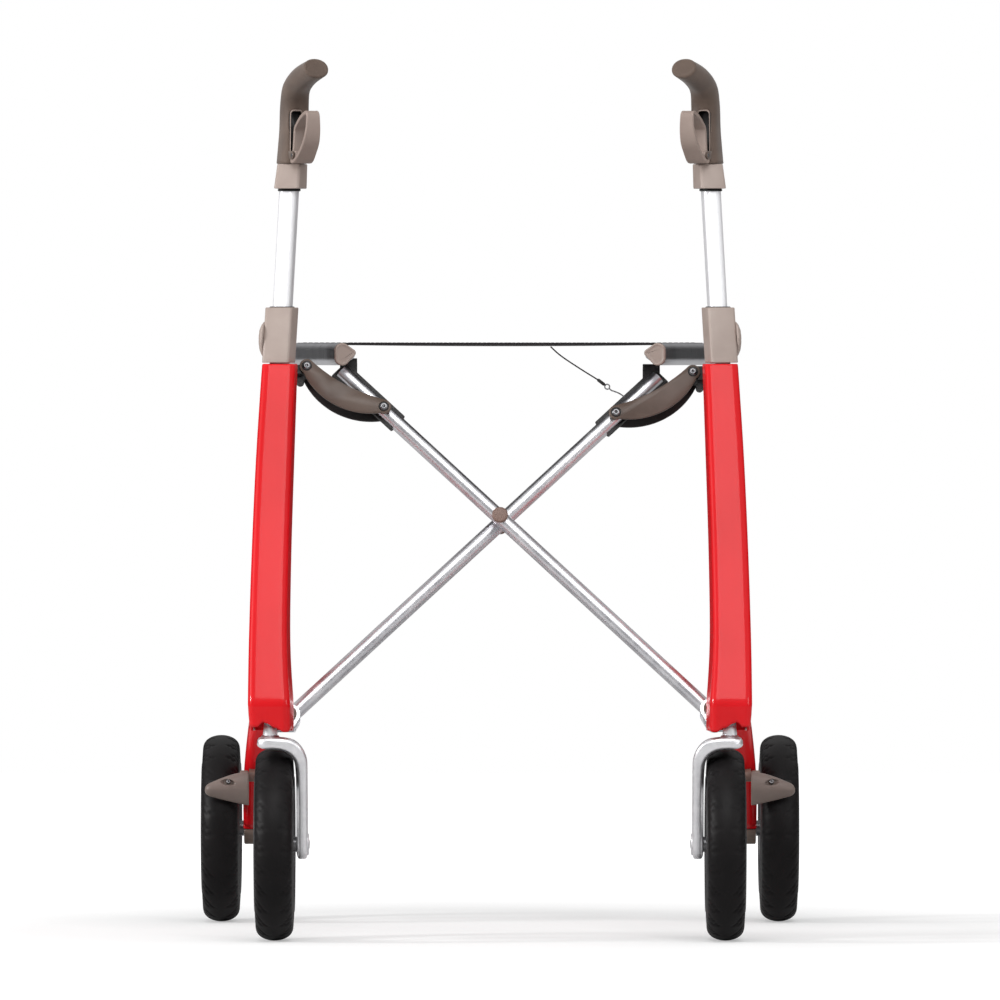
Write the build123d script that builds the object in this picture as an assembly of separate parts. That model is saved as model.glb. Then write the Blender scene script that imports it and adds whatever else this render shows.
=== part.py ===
"""Folding rollator walker: two moulded side frames joined by a folding cross of two tubes.

Millimetres. X to the right, the front of the rollator faces -Y, Z up. Z = 0 is the floor.
Left pieces are modelled at X < 0 and mirrored for the right.
"""
from build123d import *
from math import atan2, cos, degrees, hypot, radians, sin, tan
import os

os.makedirs("parts", exist_ok=True)

# --- driving dimensions -------------------------------------------------------------
WHEEL_R = 100.0
TYRE_W = 40.0
RIM_R = 71.0
HUB_R = 15.0
AXLE_R = 4.0
BEARING_R = 11.0
BEARING_W = 7.0
BEARING_OFFSET = 10.0
REAR_WHEEL = (-299.0, 225.0, WHEEL_R)
FRONT_WHEEL = (-234.2, -225.0, WHEEL_R)

LEAN = 20.0                 # backward lean of the column and of the folding cross
STEM_X, STEM_Y = -238.0, -263.0
STEM_R = 4.5
BOOT_BOTTOM, BOOT_TOP = 216.0, 247.0
COLUMN_TOP = 599.0
SHELL = 2.5                 # wall of the moulded frame

HUB_Z = 435.0               # crossing point of the two brace tubes
HUB_BEHIND = 51.1           # how far behind the column's centre line the cross lies
BRACE_R = 8.0
BRACE_WALL = 1.5
SADDLE_R = 10.7             # outside of the channel that holds a brace tube to its rail
BRACE_N = 9.0               # brace B stands this far in front of the cross plane, brace A behind
PIVOT_X = 219.0             # lower brace pivots
OPEN_ANGLE = 44.3           # brace angle in the cross plane, open
BRACE_UPPER = 232.0         # hub to upper tube end
PIN_R = 4.0
RUNNING = 0.05              # radial clearance of a pin that turns in its hole

LINK_PIVOT = (-202.5, 163.9)
LINK_END = 170.0            # hub to the link's outer screw, along the tube
LINK_T = 3.0
LINK_GAP = 11.2             # link plate's inner face from the brace tube's centre
BOSS_R = 7.8

RAIL_ROUNDS = ((-3.4, 4.0, 7.6), (-3.4, -4.0, 7.6), (7.4, 1.4, 3.6))
RAIL_FRONT = (-161.5, -112.0, 609.0)
RAIL_LENGTH = 255.0
RAIL_TOE = 14.5
SEAT_TOP, SEAT_T = 621.0, 2.8

TUBE_W, TUBE_D, TUBE_CORNER, TUBE_WALL = 19.0, 23.0, 7.0, 2.0
TUBE_BOTTOM, TUBE_TOP = 482.0, 840.0
HANDLE_X, HANDLE_Z = -227.3, 666.0
HANDLE_SLOPE = 0.05
TUBE_TOE, COLLAR_TOE, GRIP_TOE = 12.0, 14.0, 20.0
CLAMP_BOTTOM, CLAMP_TOP = 600.2, 658.0
COLLAR_BOTTOM, COLLAR_TOP = 783.0, 809.0
KNOB_Z, KNOB_R, KNOB_HEIGHT = 624.0, 19.5, 5.2
KNOB_BASE = 15.6             # out from the handle's centre line
KNOB_PIN_R = 3.0
LEVER_HALF = 8.0
LEVER_PIVOT = (25.0, 818.0)  # forward of the handle's centre line, height

ARM_PIVOT = (132.0, 159.5)   # Y, Z of the brake arm's pin
ARM_PIN_R = 3.0

# --- frames of reference ------------------------------------------------------------


def column_y(z):
    """Y of the column's and handle's centre line at height z."""
    return STEM_Y + (z - 225.0) * tan(radians(LEAN))


def handle_x(z):
    """X of the left handle's centre line at height z."""
    return HANDLE_X + (z - HANDLE_Z) * HANDLE_SLOPE


HUB_Y = column_y(HUB_Z) + HUB_BEHIND
HANDLE_DIR = Vector(HANDLE_SLOPE, tan(radians(LEAN)), 1).normalized()
OUT = Vector(0, -cos(radians(LEAN)), sin(radians(LEAN)))
CROSS = Plane(origin=(0, HUB_Y, HUB_Z), x_dir=(1, 0, 0), z_dir=OUT)
OPEN = radians(OPEN_ANGLE)
PIVOT_V = -PIVOT_X * tan(OPEN)

# --- helpers ------------------------------------------------------------------------


def write(name, shape):
    """One node: one STEP file."""
    export_step(shape, f"parts/{name}.step")


def group(*solids):
    """Several separate solids in one node."""
    flat = []
    for piece in solids:
        flat.extend(piece.solids())
    return Compound(children=flat)


def mirrored(shape):
    """The same solids on the other side of the YZ plane."""
    turned = [piece.mirror(Plane.YZ) for piece in shape.solids()]
    return turned[0] if len(turned) == 1 else group(*turned)


def pair(name, shape):
    """A left piece and its mirror image."""
    write(f"left_{name}", shape)
    write(f"right_{name}", mirrored(shape))


def both(name, maker):
    """A left and a right piece whose place across the cross plane differs."""
    write(f"left_{name}", maker(1))
    write(f"right_{name}", mirrored(maker(-1)))


def rod(radius, start, end):
    """Solid round bar from start to end."""
    start, end = Vector(*start), Vector(*end)
    line = end - start
    return Plane(origin=start, z_dir=line.normalized()) * Cylinder(
        radius, line.length, align=(Align.CENTER, Align.CENTER, Align.MIN)
    )


def ring(radius, hole, start, end):
    return rod(radius, start, end) - rod(hole, start, end)


def block(low, high):
    """Box between two opposite corners."""
    size = [b - a for a, b in zip(low, high)]
    return Pos(*low) * Box(*size, align=(Align.MIN, Align.MIN, Align.MIN))


def slab(x, z, width, depth, corner, turn=0.0, y=None):
    """Rounded rectangle lying level at height z, turned about the vertical."""
    place = Location((x, column_y(z) if y is None else y, z), (0, 0, turn))
    return place * RectangleRounded(width, depth, corner)


def hull_plate(first, r1, second, r2, low, high):
    """Plate in the XY plane round two circles, from z = low to high."""
    (x1, y1), (x2, y2) = first, second
    reach = hypot(x2 - x1, y2 - y1)
    turn = degrees(atan2(y2 - y1, x2 - x1))
    with BuildSketch() as outline:
        Circle(r1)
        with Locations((reach, 0)):
            Circle(r2)
        make_hull()
    body = extrude(outline.sketch, high - low)
    return Location((x1, y1, low), (0, 0, turn)) * body


# --- wheels -------------------------------------------------------------------------


def tyre(centre):
    """Solid soft tyre: straight side walls and a round tread."""
    half = TYRE_W / 2
    shoulder = 15.0
    side = WHEEL_R - shoulder
    with BuildSketch(Plane.XZ) as section:
        with BuildLine():
            Line((RIM_R, -half + 3), (RIM_R + 3, -half))
            Line((RIM_R + 3, -half), (side, -half))
            ThreePointArc((side, -half), (side + 0.78 * shoulder, -half + 6.8), (WHEEL_R, -half + shoulder))
            Line((WHEEL_R, -half + shoulder), (WHEEL_R, half - shoulder))
            ThreePointArc((WHEEL_R, half - shoulder), (side + 0.78 * shoulder, half - 6.8), (side, half))
            Line((side, half), (RIM_R + 3, half))
            Line((RIM_R + 3, half), (RIM_R, half - 3))
            Line((RIM_R, half - 3), (RIM_R, -half + 3))
        make_face()
    body = revolve(section.sketch, Axis.Z, 360)
    return Pos(*centre) * Rot(0, 90, 0) * body


def wheel_hub(centre):
    """Rim with flanges, six spokes and a hub bored for two ball bearings."""
    rim = Cylinder(RIM_R, TYRE_W - 6) - Cylinder(RIM_R - 5, TYRE_W)
    flange = Cylinder(RIM_R, TYRE_W + 1.6) - Cylinder(RIM_R - 3, TYRE_W + 4)
    barrel = Cylinder(HUB_R, 32.0)
    spokes = []
    for turn in range(0, 360, 60):
        spokes.append(Rot(0, 0, turn) * Pos((HUB_R + RIM_R - 4) / 2, 0, 0) * Box(RIM_R - HUB_R, 9.0, 15.0))
    body = rim + flange + barrel + spokes
    body -= Cylinder(BEARING_R + RUNNING, 40.0)
    return Pos(*centre) * Rot(0, 90, 0) * body


def bearings(centre):
    """Two ball bearings on the axle, each drawn as its two rings and a shield in one piece."""
    x, y, z = centre
    solids = []
    for offset in (-BEARING_OFFSET, BEARING_OFFSET):
        low = x + offset - BEARING_W / 2
        solids.append(ring(BEARING_R, AXLE_R, (low, y, z), (low + BEARING_W, y, z)))
    return solids


# --- moulded side frame ---------------------------------------------------------------

COLUMN_STATIONS = (
    # z, x, width, depth
    (BOOT_TOP, -237.6, 44.0, 50.0),
    (310.0, -239.2, 40.0, 46.5),
    (400.0, -237.8, 38.6, 43.0),
    (500.0, -234.6, 37.6, 40.0),
    (COLUMN_TOP, -230.3, 35.0, 37.0),
)
COLUMN_TOE = -5.0

LEG_STATIONS = (
    # x, y, z, slope of the leg below the horizontal, width, depth
    (-238.5, -205.0, 352.0, 15.0, 22.0, 40.0),
    (-240.5, -90.0, 322.0, 19.0, 22.0, 36.0),
    (-246.0, 25.0, 268.0, 31.0, 22.0, 34.0),
    (-256.0, 105.0, 211.0, 39.0, 22.5, 33.0),
    (-262.5, 168.0, 155.0, 44.0, 23.0, 33.0),
    (-263.5, 217.0, 107.0, 45.0, 23.0, 33.0),
)


def column(inset, bottom):
    """The column above its boot, smaller all round by inset."""
    faces = []
    for z, x, width, depth in COLUMN_STATIONS:
        faces.append(slab(x, z, width - 2 * inset, depth - 2 * inset, 10.0 - inset, COLUMN_TOE))
    body = loft(faces)
    if bottom > BOOT_TOP:
        body -= block((-300, -400, 200), (-180, 100, bottom))
    return body


def rear_leg(inset, stations):
    faces = []
    for x, y, z, slope, width, depth in stations:
        along = Vector(0, cos(radians(slope)), -sin(radians(slope)))
        plane = Plane(origin=(x, y, z), x_dir=(1, 0, 0), z_dir=along)
        faces.append(plane * RectangleRounded(width - 2 * inset, depth - 2 * inset, 9.0 - inset))
    return loft(faces)


def leg_end():
    """Round end of the rear leg about the axle."""
    x, y, z = REAR_WHEEL
    return rod(17.0, (-275.0, y, z), (-252.5, y, z))


def frame_outside():
    boot_y = column_y(BOOT_TOP)
    boot = loft([
        slab(-236.8, BOOT_BOTTOM, 42.5, 46.0, 9.0, COLUMN_TOE, boot_y),
        slab(-237.6, BOOT_TOP, 44.0, 50.0, 10.0, COLUMN_TOE, boot_y),
    ])
    return boot + column(0, 0) + rear_leg(0, LEG_STATIONS) + leg_end()


def side_frame(outside):
    """Hollow moulding: column, boot for the castor and rear leg."""
    x, y, z = REAR_WHEEL
    body = outside - column(SHELL, 262.0)
    body -= rear_leg(SHELL, LEG_STATIONS[1:5])
    body -= rod(BEARING_R, (STEM_X, STEM_Y, 190), (STEM_X, STEM_Y, 264))
    body -= block((-246.0, -300.0, 200.0), (-232.0, -252.0, 226.0))
    body -= block((-300.0, 150.0, 60.0), (-230.0, 300.0, z - 0.6))
    body -= rod(AXLE_R + 2.0, (-290, y, z), (-240, y, z))
    return body


def leg_cap():
    """Cap under the leg's round end, below the axle."""
    x, y, z = REAR_WHEEL
    cap = rod(16.8, (-274.6, y, z), (-253.0, y, z))
    cap -= block((-300.0, 150.0, z - 0.9), (-230.0, 300.0, z + 40))
    cap -= rod(AXLE_R + 2.0, (-290, y, z), (-240, y, z))
    return cap


def rear_axle():
    x, y, z = REAR_WHEEL
    axle = rod(AXLE_R, (x - 17.0, y, z), (-254.0, y, z))
    sleeve = ring(AXLE_R + 1.9, AXLE_R, (-274.9, y, z), (-254.0, y, z))
    spacer = ring(8.3, AXLE_R, (-282.4, y, z), (-275.1, y, z))
    head = rod(7.0, (x - 19.5, y, z), (x - 17.0, y, z))
    return group(axle + head, sleeve, spacer, *bearings(REAR_WHEEL))


def castor_bearings():
    solids = []
    for low in (228.0, 246.0):
        solids.append(ring(BEARING_R, STEM_R + RUNNING, (STEM_X, STEM_Y, low), (STEM_X, STEM_Y, low + BEARING_W)))
    return group(*solids)


# --- height clamp, handle ---------------------------------------------------------------


def tube_prism(grow, low, high):
    """The handle tube's outline carried along the handle's own direction."""
    face = Location((handle_x(low), column_y(low), low), (0, 0, -TUBE_TOE)) * RectangleRounded(
        TUBE_W + 2 * grow, TUBE_D + 2 * grow, TUBE_CORNER + grow
    )
    return extrude(face, (high - low) / HANDLE_DIR.Z, dir=HANDLE_DIR)


KNOB_OUT = Vector(-cos(radians(TUBE_TOE)), sin(radians(TUBE_TOE)), 0)


def knob_point(distance):
    """A point out from the handle's centre line towards the height knob."""
    return Vector(handle_x(KNOB_Z), column_y(KNOB_Z), KNOB_Z) + KNOB_OUT * distance


def height_clamp():
    body = loft([
        slab(-231.6, CLAMP_BOTTOM, 29.0, 34.0, 3.5, -TUBE_TOE),
        slab(-228.4, CLAMP_TOP, 29.0, 34.0, 3.5, -TUBE_TOE),
    ])
    body -= tube_prism(0.15, CLAMP_BOTTOM - 2, CLAMP_TOP + 2)
    body -= rod(KNOB_PIN_R + 0.1, knob_point(6), knob_point(30))
    body -= rod(KNOB_R + 0.5, knob_point(KNOB_BASE - 0.3), knob_point(30))
    return body


def height_knob():
    """Spring-loaded pull knob whose pin runs in the tube's groove."""
    place = Plane(origin=knob_point(KNOB_BASE), z_dir=KNOB_OUT)
    cap = place * Cone(KNOB_R, KNOB_R - 4.5, KNOB_HEIGHT, align=(Align.CENTER, Align.CENTER, Align.MIN))
    return cap + rod(KNOB_PIN_R, knob_point(8.8), knob_point(KNOB_BASE + 0.5))


def handle_tube():
    body = tube_prism(0, TUBE_BOTTOM, TUBE_TOP)
    body -= tube_prism(-TUBE_WALL, TUBE_BOTTOM - 1, TUBE_TOP + 1)
    groove = Location((handle_x(TUBE_BOTTOM), column_y(TUBE_BOTTOM), TUBE_BOTTOM), (0, 0, -TUBE_TOE)) * (
        Pos(-TUBE_W / 2, 0) * Rectangle(2.4, 6.8)
    )
    return body - extrude(groove, (TUBE_TOP - TUBE_BOTTOM - 60) / HANDLE_DIR.Z, dir=HANDLE_DIR)


def handle_collar():
    body = loft([
        slab(-220.4, COLLAR_BOTTOM, 27.5, 36.0, 4.0, -COLLAR_TOE),
        slab(-218.4, COLLAR_TOP, 25.5, 32.5, 4.0, -COLLAR_TOE),
    ])
    return body - tube_prism(0.02, COLLAR_BOTTOM - 2, COLLAR_TOP + 2)


GRIP_STATIONS = (
    # x, y, z, climb of the centre line, half width, half depth
    (-218.6, column_y(809.3), 809.3, 110.0, 13.2, 17.2),
    (-216.6, column_y(845.0), 845.0, 107.0, 14.2, 16.6),
    (-214.2, -37.0, 868.0, 85.0, 14.6, 15.0),
    (-209.0, -48.0, 886.0, 55.0, 14.4, 13.6),
    (-201.5, -69.0, 899.0, 33.0, 14.0, 12.4),
    (-193.2, -92.0, 908.3, 30.0, 13.6, 11.6),
)


def forward(turn):
    """Level direction that points forward and, for a left handle, inward by turn degrees."""
    return Vector(sin(radians(turn)), -cos(radians(turn)), 0)


def grip_body():
    ahead = forward(GRIP_TOE)
    across = Vector(cos(radians(GRIP_TOE)), sin(radians(GRIP_TOE)), 0)
    faces = []
    for x, y, z, climb, half_w, half_d in GRIP_STATIONS:
        along = ahead * cos(radians(climb)) + Vector(0, 0, sin(radians(climb)))
        plane = Plane(origin=(x, y, z), x_dir=across, z_dir=along)
        faces.append(plane * Ellipse(half_w, half_d))
    return loft(faces)


LEVER_PLANE = Plane(
    origin=(handle_x(LEVER_PIVOT[1]), column_y(LEVER_PIVOT[1]), 0),
    x_dir=forward(GRIP_TOE),
    z_dir=forward(GRIP_TOE).cross(Vector(0, 0, 1)),
)


def lever_outline(inset):
    """Closed finger loop seen from the side: forward distance and height."""
    with BuildSketch() as outline:
        with BuildLine():
            Polyline(
                (17 + inset, 812 + inset), (42 - inset / 2, 810.5 + inset), (60 - inset, 828),
                (66 - inset, 850), (66 - inset, 863.5 - inset), (20 + inset, 860 - inset),
                (17 + inset, 812 + inset),
            )
        make_face()
        fillet(outline.vertices(), 4.0)
    return outline.sketch


def brake_lever():
    loop = extrude(lever_outline(0) - lever_outline(4.5), LEVER_HALF, both=True)
    boss = Pos(LEVER_PIVOT[0], LEVER_PIVOT[1]) * Cylinder(5.5, 2 * LEVER_HALF)
    body = LEVER_PLANE * (loop + boss)
    return body - LEVER_PLANE * (Pos(*LEVER_PIVOT) * Cylinder(2.0 + RUNNING, 60))


def grip():
    """Soft horn grip with a slot that takes the lever's rear side."""
    body = grip_body() - tube_prism(0.02, 800, TUBE_TOP + 0.5)
    slot = block((9.0, 806.0, -LEVER_HALF - 0.5), (60.0, 872.0, LEVER_HALF + 0.5))
    below = block((-260, -200, 780), (-180, 50, COLLAR_TOP + 0.05))
    return body - LEVER_PLANE * slot - below


def handle_hardware():
    """Lever pin held in the collar's ears, seal under the collar, plug in the tube's foot."""
    pin = LEVER_PLANE * (Pos(*LEVER_PIVOT) * Cylinder(2.0, 2 * LEVER_HALF + 5.4))
    ears = []
    for side in (-1, 1):
        ear = Pos(LEVER_PIVOT[0], LEVER_PIVOT[1], side * (LEVER_HALF + 1.6)) * Cylinder(5.0, 2.2)
        ears.append(LEVER_PLANE * ear - pin)
    seal = tube_prism(1.6, COLLAR_BOTTOM - 2.8, COLLAR_BOTTOM - 0.1) - tube_prism(
        0.02, COLLAR_BOTTOM - 4, COLLAR_BOTTOM + 1
    )
    plug = tube_prism(-TUBE_WALL - 0.02, TUBE_BOTTOM + 0.5, TUBE_BOTTOM + 14)
    return group(pin, *ears, seal, plug)


# --- castor fork ----------------------------------------------------------------------


def fork():
    """Single-sided fork: crown over the wheel, curved into one arm on the inner side."""
    with BuildSketch(Plane.XZ) as front:
        with BuildLine():
            Polyline((-226.0, 200.5), (-251.5, 200.5), (-251.5, 207.0), (-246.0, 212.5), (-223.0, 212.5))
            ThreePointArc((-223.0, 212.5), (-206.0, 204.5), (-199.6, 186.0))
            Polyline((-199.6, 186.0), (-199.6, 80.0), (-211.0, 80.0), (-211.0, 184.0))
            ThreePointArc((-211.0, 184.0), (-215.0, 195.5), (-226.0, 200.5))
        make_face()
    with BuildSketch(Plane.YZ) as side:
        with Locations((STEM_Y, 202.0)):
            Circle(16.0)
        with Locations((FRONT_WHEEL[1], WHEEL_R)):
            Circle(14.0)
        make_hull()
    across = Pos(0, -150.0, 0) * extrude(front.sketch, 200.0)
    beside = Pos(-300.0, 0, 0) * extrude(side.sketch, 200.0)
    body = across & beside
    body += rod(9.0, (STEM_X, STEM_Y, 205), (STEM_X, STEM_Y, 214.0))
    body -= rod(AXLE_R, (-260, FRONT_WHEEL[1], WHEEL_R), (-190, FRONT_WHEEL[1], WHEEL_R))
    return body - rod(STEM_R, (STEM_X, STEM_Y, 190), (STEM_X, STEM_Y, 220))


def fork_stem():
    stem = rod(STEM_R, (STEM_X, STEM_Y, 200.6), (STEM_X, STEM_Y, 259.0))
    nut = rod(8.0, (STEM_X, STEM_Y, 253.4), (STEM_X, STEM_Y, 258.0)) - stem
    washer = ring(7.5, STEM_R, (STEM_X, STEM_Y, 214.2), (STEM_X, STEM_Y, 227.8))
    return group(stem, nut, washer)


def front_axle():
    x, y, z = FRONT_WHEEL
    axle = rod(AXLE_R, (x - 17.0, y, z), (-199.8, y, z))
    head = rod(7.0, (x - 19.5, y, z), (x - 17.0, y, z))
    spacer = ring(8.0, AXLE_R, (-217.6, y, z), (-211.1, y, z))
    return group(axle + head, spacer, *bearings(FRONT_WHEEL))


# --- rear brake -----------------------------------------------------------------------


def brake_arm():
    """Tapered arm across the front of the tyre, hung from a lug beside it."""
    big = Plane(origin=(-268.0, 124.0, 146.0), x_dir=(0, 1, 0), z_dir=(-1, 0, 0)) * Ellipse(9.5, 18.0)
    middle = Plane(origin=(-292.0, 123.5, 146.0), x_dir=(0, 1, 0), z_dir=(-1, 0, 0)) * Ellipse(8.6, 12.6)
    small = Plane(origin=(-309.0, 123.0, 145.0), x_dir=(0, 1, 0), z_dir=(-1, 0, 0)) * Ellipse(7.0, 7.4)
    tip = Plane(origin=(-313.8, 122.8, 144.6), x_dir=(0, 1, 0), z_dir=(-1, 0, 0)) * Ellipse(4.6, 4.8)
    body = loft([big, middle, small]) + loft([small, tip])
    lug = Plane(origin=(-277.5, 0, 0), x_dir=(0, 1, 0), z_dir=(1, 0, 0)) * hull_plate(
        (127.0, 150.0), 9.0, ARM_PIVOT, 5.6, 0.0, 9.5
    )
    body += lug
    body -= rod(ARM_PIN_R + RUNNING, (-290, *ARM_PIVOT), (-260, *ARM_PIVOT))
    body -= rod(4.0, (-291.0, 123.0, 153.0), (-291.0, 116.0, 165.0))
    return group(body - pad_block(0.0), pad_block(-0.05))


def pad_block(grow):
    """Brake pad, square to the tyre's tread, 2.2 mm clear of it."""
    angle = 27.4
    reach = WHEEL_R + 4.2
    x, y, z = REAR_WHEEL
    place = Location(
        (x + 1.0, y - reach * cos(radians(angle)), z + reach * sin(radians(angle))), (-angle, 0, 0)
    )
    return place * Box(26.0, 4.0 + 2 * grow, 13.0 + 2 * grow)


def arm_bracket(outside):
    """Bracket on the leg that carries the brake arm's pin."""
    plate = Plane(origin=(-267.6, 0, 0), x_dir=(0, 1, 0), z_dir=(1, 0, 0)) * hull_plate(
        ARM_PIVOT, 6.5, (165.0, 172.0), 10.0, 0.0, 13.0
    )
    return plate - outside - rod(ARM_PIN_R, (-290, *ARM_PIVOT), (-240, *ARM_PIVOT))


def brake_cable():
    """Cable held inside the column and the rear leg."""
    points = [station[:3] for station in LEG_STATIONS[1:5]]
    path = FilletPolyline(*points, radius=60.0)
    start = Plane(origin=path @ 0, z_dir=path % 0)
    return sweep(start * Circle(2.0), path=path)


# --- folding cross ----------------------------------------------------------------------


def brace_n(side):
    """Side +1 is brace B's plane (in front), -1 brace A's (behind)."""
    return side * BRACE_N


def along_brace(distance, square=0.0):
    """Point in the cross plane, measured up the left-hand brace from the hub and square to it."""
    x = -distance * cos(OPEN) + square * sin(OPEN)
    v = distance * sin(OPEN) + square * cos(OPEN)
    return x, v


def brace(side):
    """Tube whose upper end is on the left; the right-hand one is its mirror image."""
    n = brace_n(side)
    foot = (PIVOT_X, PIVOT_V, n)
    top = (*along_brace(BRACE_UPPER), n)
    bore_foot = (*along_brace(-(PIVOT_X / cos(OPEN)) + 16.0), n)
    body = rod(BRACE_R, foot, top)
    body += rod(10.0, (PIVOT_X, PIVOT_V, n - BRACE_R), (PIVOT_X, PIVOT_V, n + BRACE_R))
    body -= rod(BRACE_R - BRACE_WALL, bore_foot, (*along_brace(BRACE_UPPER + 5), n))
    body -= rod(PIN_R + RUNNING, (PIVOT_X, PIVOT_V, n - 20), (PIVOT_X, PIVOT_V, n + 20))
    hole = PIN_R + RUNNING if side > 0 else PIN_R
    body -= rod(hole, (0, 0, n - 20), (0, 0, n + 20))
    return CROSS * body


def hub_bolt():
    pin = rod(PIN_R, (0, 0, -19.0), (0, 0, 19.0))
    caps = rod(8.0, (0, 0, 17.2), (0, 0, 20.6)) + rod(8.0, (0, 0, -20.6), (0, 0, -17.2))
    washer = ring(7.0, PIN_R, (0, 0, -0.9), (0, 0, 0.9))
    return group(CROSS * (pin + caps), CROSS * washer)


def brace_lug(side, outside):
    """Fork behind the column's foot that holds a brace's lower pivot. Side is its brace's plane."""
    n = brace_n(side)
    px, pv = -PIVOT_X, PIVOT_V
    body = None
    for low, high in ((n - 11.4, n - 8.3), (n + 8.3, n + 11.4)):
        plate = hull_plate((px, pv), 11.0, (px - 4.0, pv - 9.0), 10.0, low, high)
        plate += block((px - 22.0, pv - 18.0, low), (px - 4.0, pv + 10.0, high))
        body = plate if body is None else body + plate
    body += block((px - 22.0, pv - 18.0, n - 11.4), (px - 12.0, pv + 10.0, 30.0))
    body -= rod(PIN_R, (px, pv, n - 30), (px, pv, n + 30))
    floor_cut = block((-300, -400, 150), (-150, 0, 215.5))
    return CROSS * body - outside - floor_cut


def brace_pin(side):
    """Lower pivot pin with its round caps."""
    n = brace_n(side)
    px, pv = -PIVOT_X, PIVOT_V
    pin = rod(PIN_R, (px, pv, n - 12.4), (px, pv, n + 12.4))
    caps = rod(7.6, (px, pv, n + 11.5), (px, pv, n + 14.0)) + rod(7.6, (px, pv, n - 14.0), (px, pv, n - 11.5))
    return CROSS * (pin + caps)


def link_bracket(side, outside):
    """Tongue behind the column that carries the link's upper pivot, with a rubber stop."""
    n = brace_n(side)
    x, v = LINK_PIVOT
    half = LINK_GAP - 0.4
    body = rod(BOSS_R - 0.4, (x, v, n - half), (x, v, n + half))
    body += block((-232.0, v - BOSS_R + 0.4, n - half), (x, v + BOSS_R - 0.4, n + half))
    body += block((-236.0, v - 12.0, n - half), (-213.2, v + 8.0, 40.0))
    body -= rod(PIN_R - 1.0 + RUNNING, (x, v, n - 30), (x, v, n + 30))
    bumper = rod(4.0, (-209.5, v - 12.6, n - 5), (-209.5, v - 12.6, n + 5))
    foot = block((-213.2, v - 15.0, n - 5), (-209.5, v - 10.0, n + 5)) - bumper
    above = block((-300, -300, COLUMN_TOP - 1.0), (-150, 100, 700))
    return group(CROSS * (body + foot) - outside - above, CROSS * bumper)


def link(side):
    """Pair of curved link plates with their screws."""
    n = brace_n(side)
    x, v = LINK_PIVOT
    qx, qv = along_brace(LINK_END)
    solids = []
    for sign in (-1, 1):
        inner = n + sign * LINK_GAP
        low, high = sorted((inner, inner + sign * LINK_T))
        with BuildSketch() as outline:
            with BuildLine():
                dx, dv = qx - x, qv - v
                length = hypot(dx, dv)
                ux, uv = dx / length, dv / length
                sx, sv = -uv, ux
                ThreePointArc(
                    (x + sx * BOSS_R, v + sv * BOSS_R),
                    (x + ux * length * 0.5 - sx * 1.0, v + uv * length * 0.5 - sv * 1.0 + 3.0),
                    (qx + sx * BOSS_R, qv + sv * BOSS_R),
                )
                ThreePointArc(
                    (qx + sx * BOSS_R, qv + sv * BOSS_R),
                    (qx + ux * BOSS_R, qv + uv * BOSS_R),
                    (qx - sx * BOSS_R, qv - sv * BOSS_R),
                )
                ThreePointArc(
                    (qx - sx * BOSS_R, qv - sv * BOSS_R),
                    (x + ux * length * 0.5 - sx * 23.0, v + uv * length * 0.5 - sv * 23.0),
                    (x - sx * BOSS_R, v - sv * BOSS_R),
                )
                ThreePointArc(
                    (x - sx * BOSS_R, v - sv * BOSS_R),
                    (x - ux * BOSS_R, v - uv * BOSS_R),
                    (x + sx * BOSS_R, v + sv * BOSS_R),
                )
            make_face()
        plate = Pos(0, 0, low) * extrude(outline.sketch, LINK_T)
        plate -= rod(PIN_R - 1.0, (x, v, low - 1), (x, v, high + 1))
        solids.append(CROSS * plate)
        far = inner + sign * LINK_T
        button = rod(4.4, (qx, qv, far), (qx, qv, far + sign * 2.0))
        solids.append(CROSS * button)
    reach = LINK_GAP + LINK_T
    pin = rod(PIN_R - 1.0, (x, v, n - reach - 1), (x, v, n + reach + 1))
    heads = rod(4.4, (x, v, n + reach), (x, v, n + reach + 2)) + rod(4.4, (x, v, n - reach - 2), (x, v, n - reach))
    solids.append(CROSS * (pin + heads))
    return group(*solids)


# --- seat -------------------------------------------------------------------------------


def rail_plane(distance):
    """Plane square to the left rail, a distance back from its front end."""
    back = Vector(-sin(radians(RAIL_TOE)), cos(radians(RAIL_TOE)), 0)
    across = Vector(cos(radians(RAIL_TOE)), sin(radians(RAIL_TOE)), 0)
    return Plane(origin=Vector(*RAIL_FRONT) + back * distance, x_dir=across, z_dir=back)


def rail_section(inset):
    """Rounded teardrop whose narrow side points inward."""
    with BuildSketch() as outline:
        for x, y, radius in RAIL_ROUNDS:
            with Locations((x, y)):
                Circle(radius - inset)
        make_hull()
    return outline.sketch


def rail_piece(start, end, inset):
    return extrude(rail_plane(start) * rail_section(inset), end - start)


def seat_rail():
    return rail_piece(6.0, RAIL_LENGTH - 6.0, 0) - rail_piece(0, RAIL_LENGTH, 1.6)


def rail_caps():
    caps = []
    for low, high, plug_low, plug_high in (
        (0.0, 5.9, 5.8, 16.0),
        (RAIL_LENGTH - 5.9, RAIL_LENGTH, RAIL_LENGTH - 16.0, RAIL_LENGTH - 5.8),
    ):
        caps.append(rail_piece(low, high, -0.2) + rail_piece(plug_low, plug_high, 1.7))
    return caps


def rail_saddle(side, rail):
    """Channel behind the brace's upper end with a cradle for the rail."""
    n = brace_n(side)
    low = (*along_brace(150.0), n)
    high = (*along_brace(BRACE_UPPER + 4.0), n)
    body = rod(SADDLE_R, low, high)
    body -= block((-300, -300, n + 3.0), (300, 300, n + 40))
    x, v = along_brace(BRACE_UPPER - 6.0, 4.0)
    body += block((x - 9.0, v, n - 16.0), (x + 9.0, v + 16.0, n + 2.0))
    body -= rod(BRACE_R + 0.02, (*along_brace(100.0), n), (*along_brace(BRACE_UPPER + 0.1), n))
    return CROSS * body - rail


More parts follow.
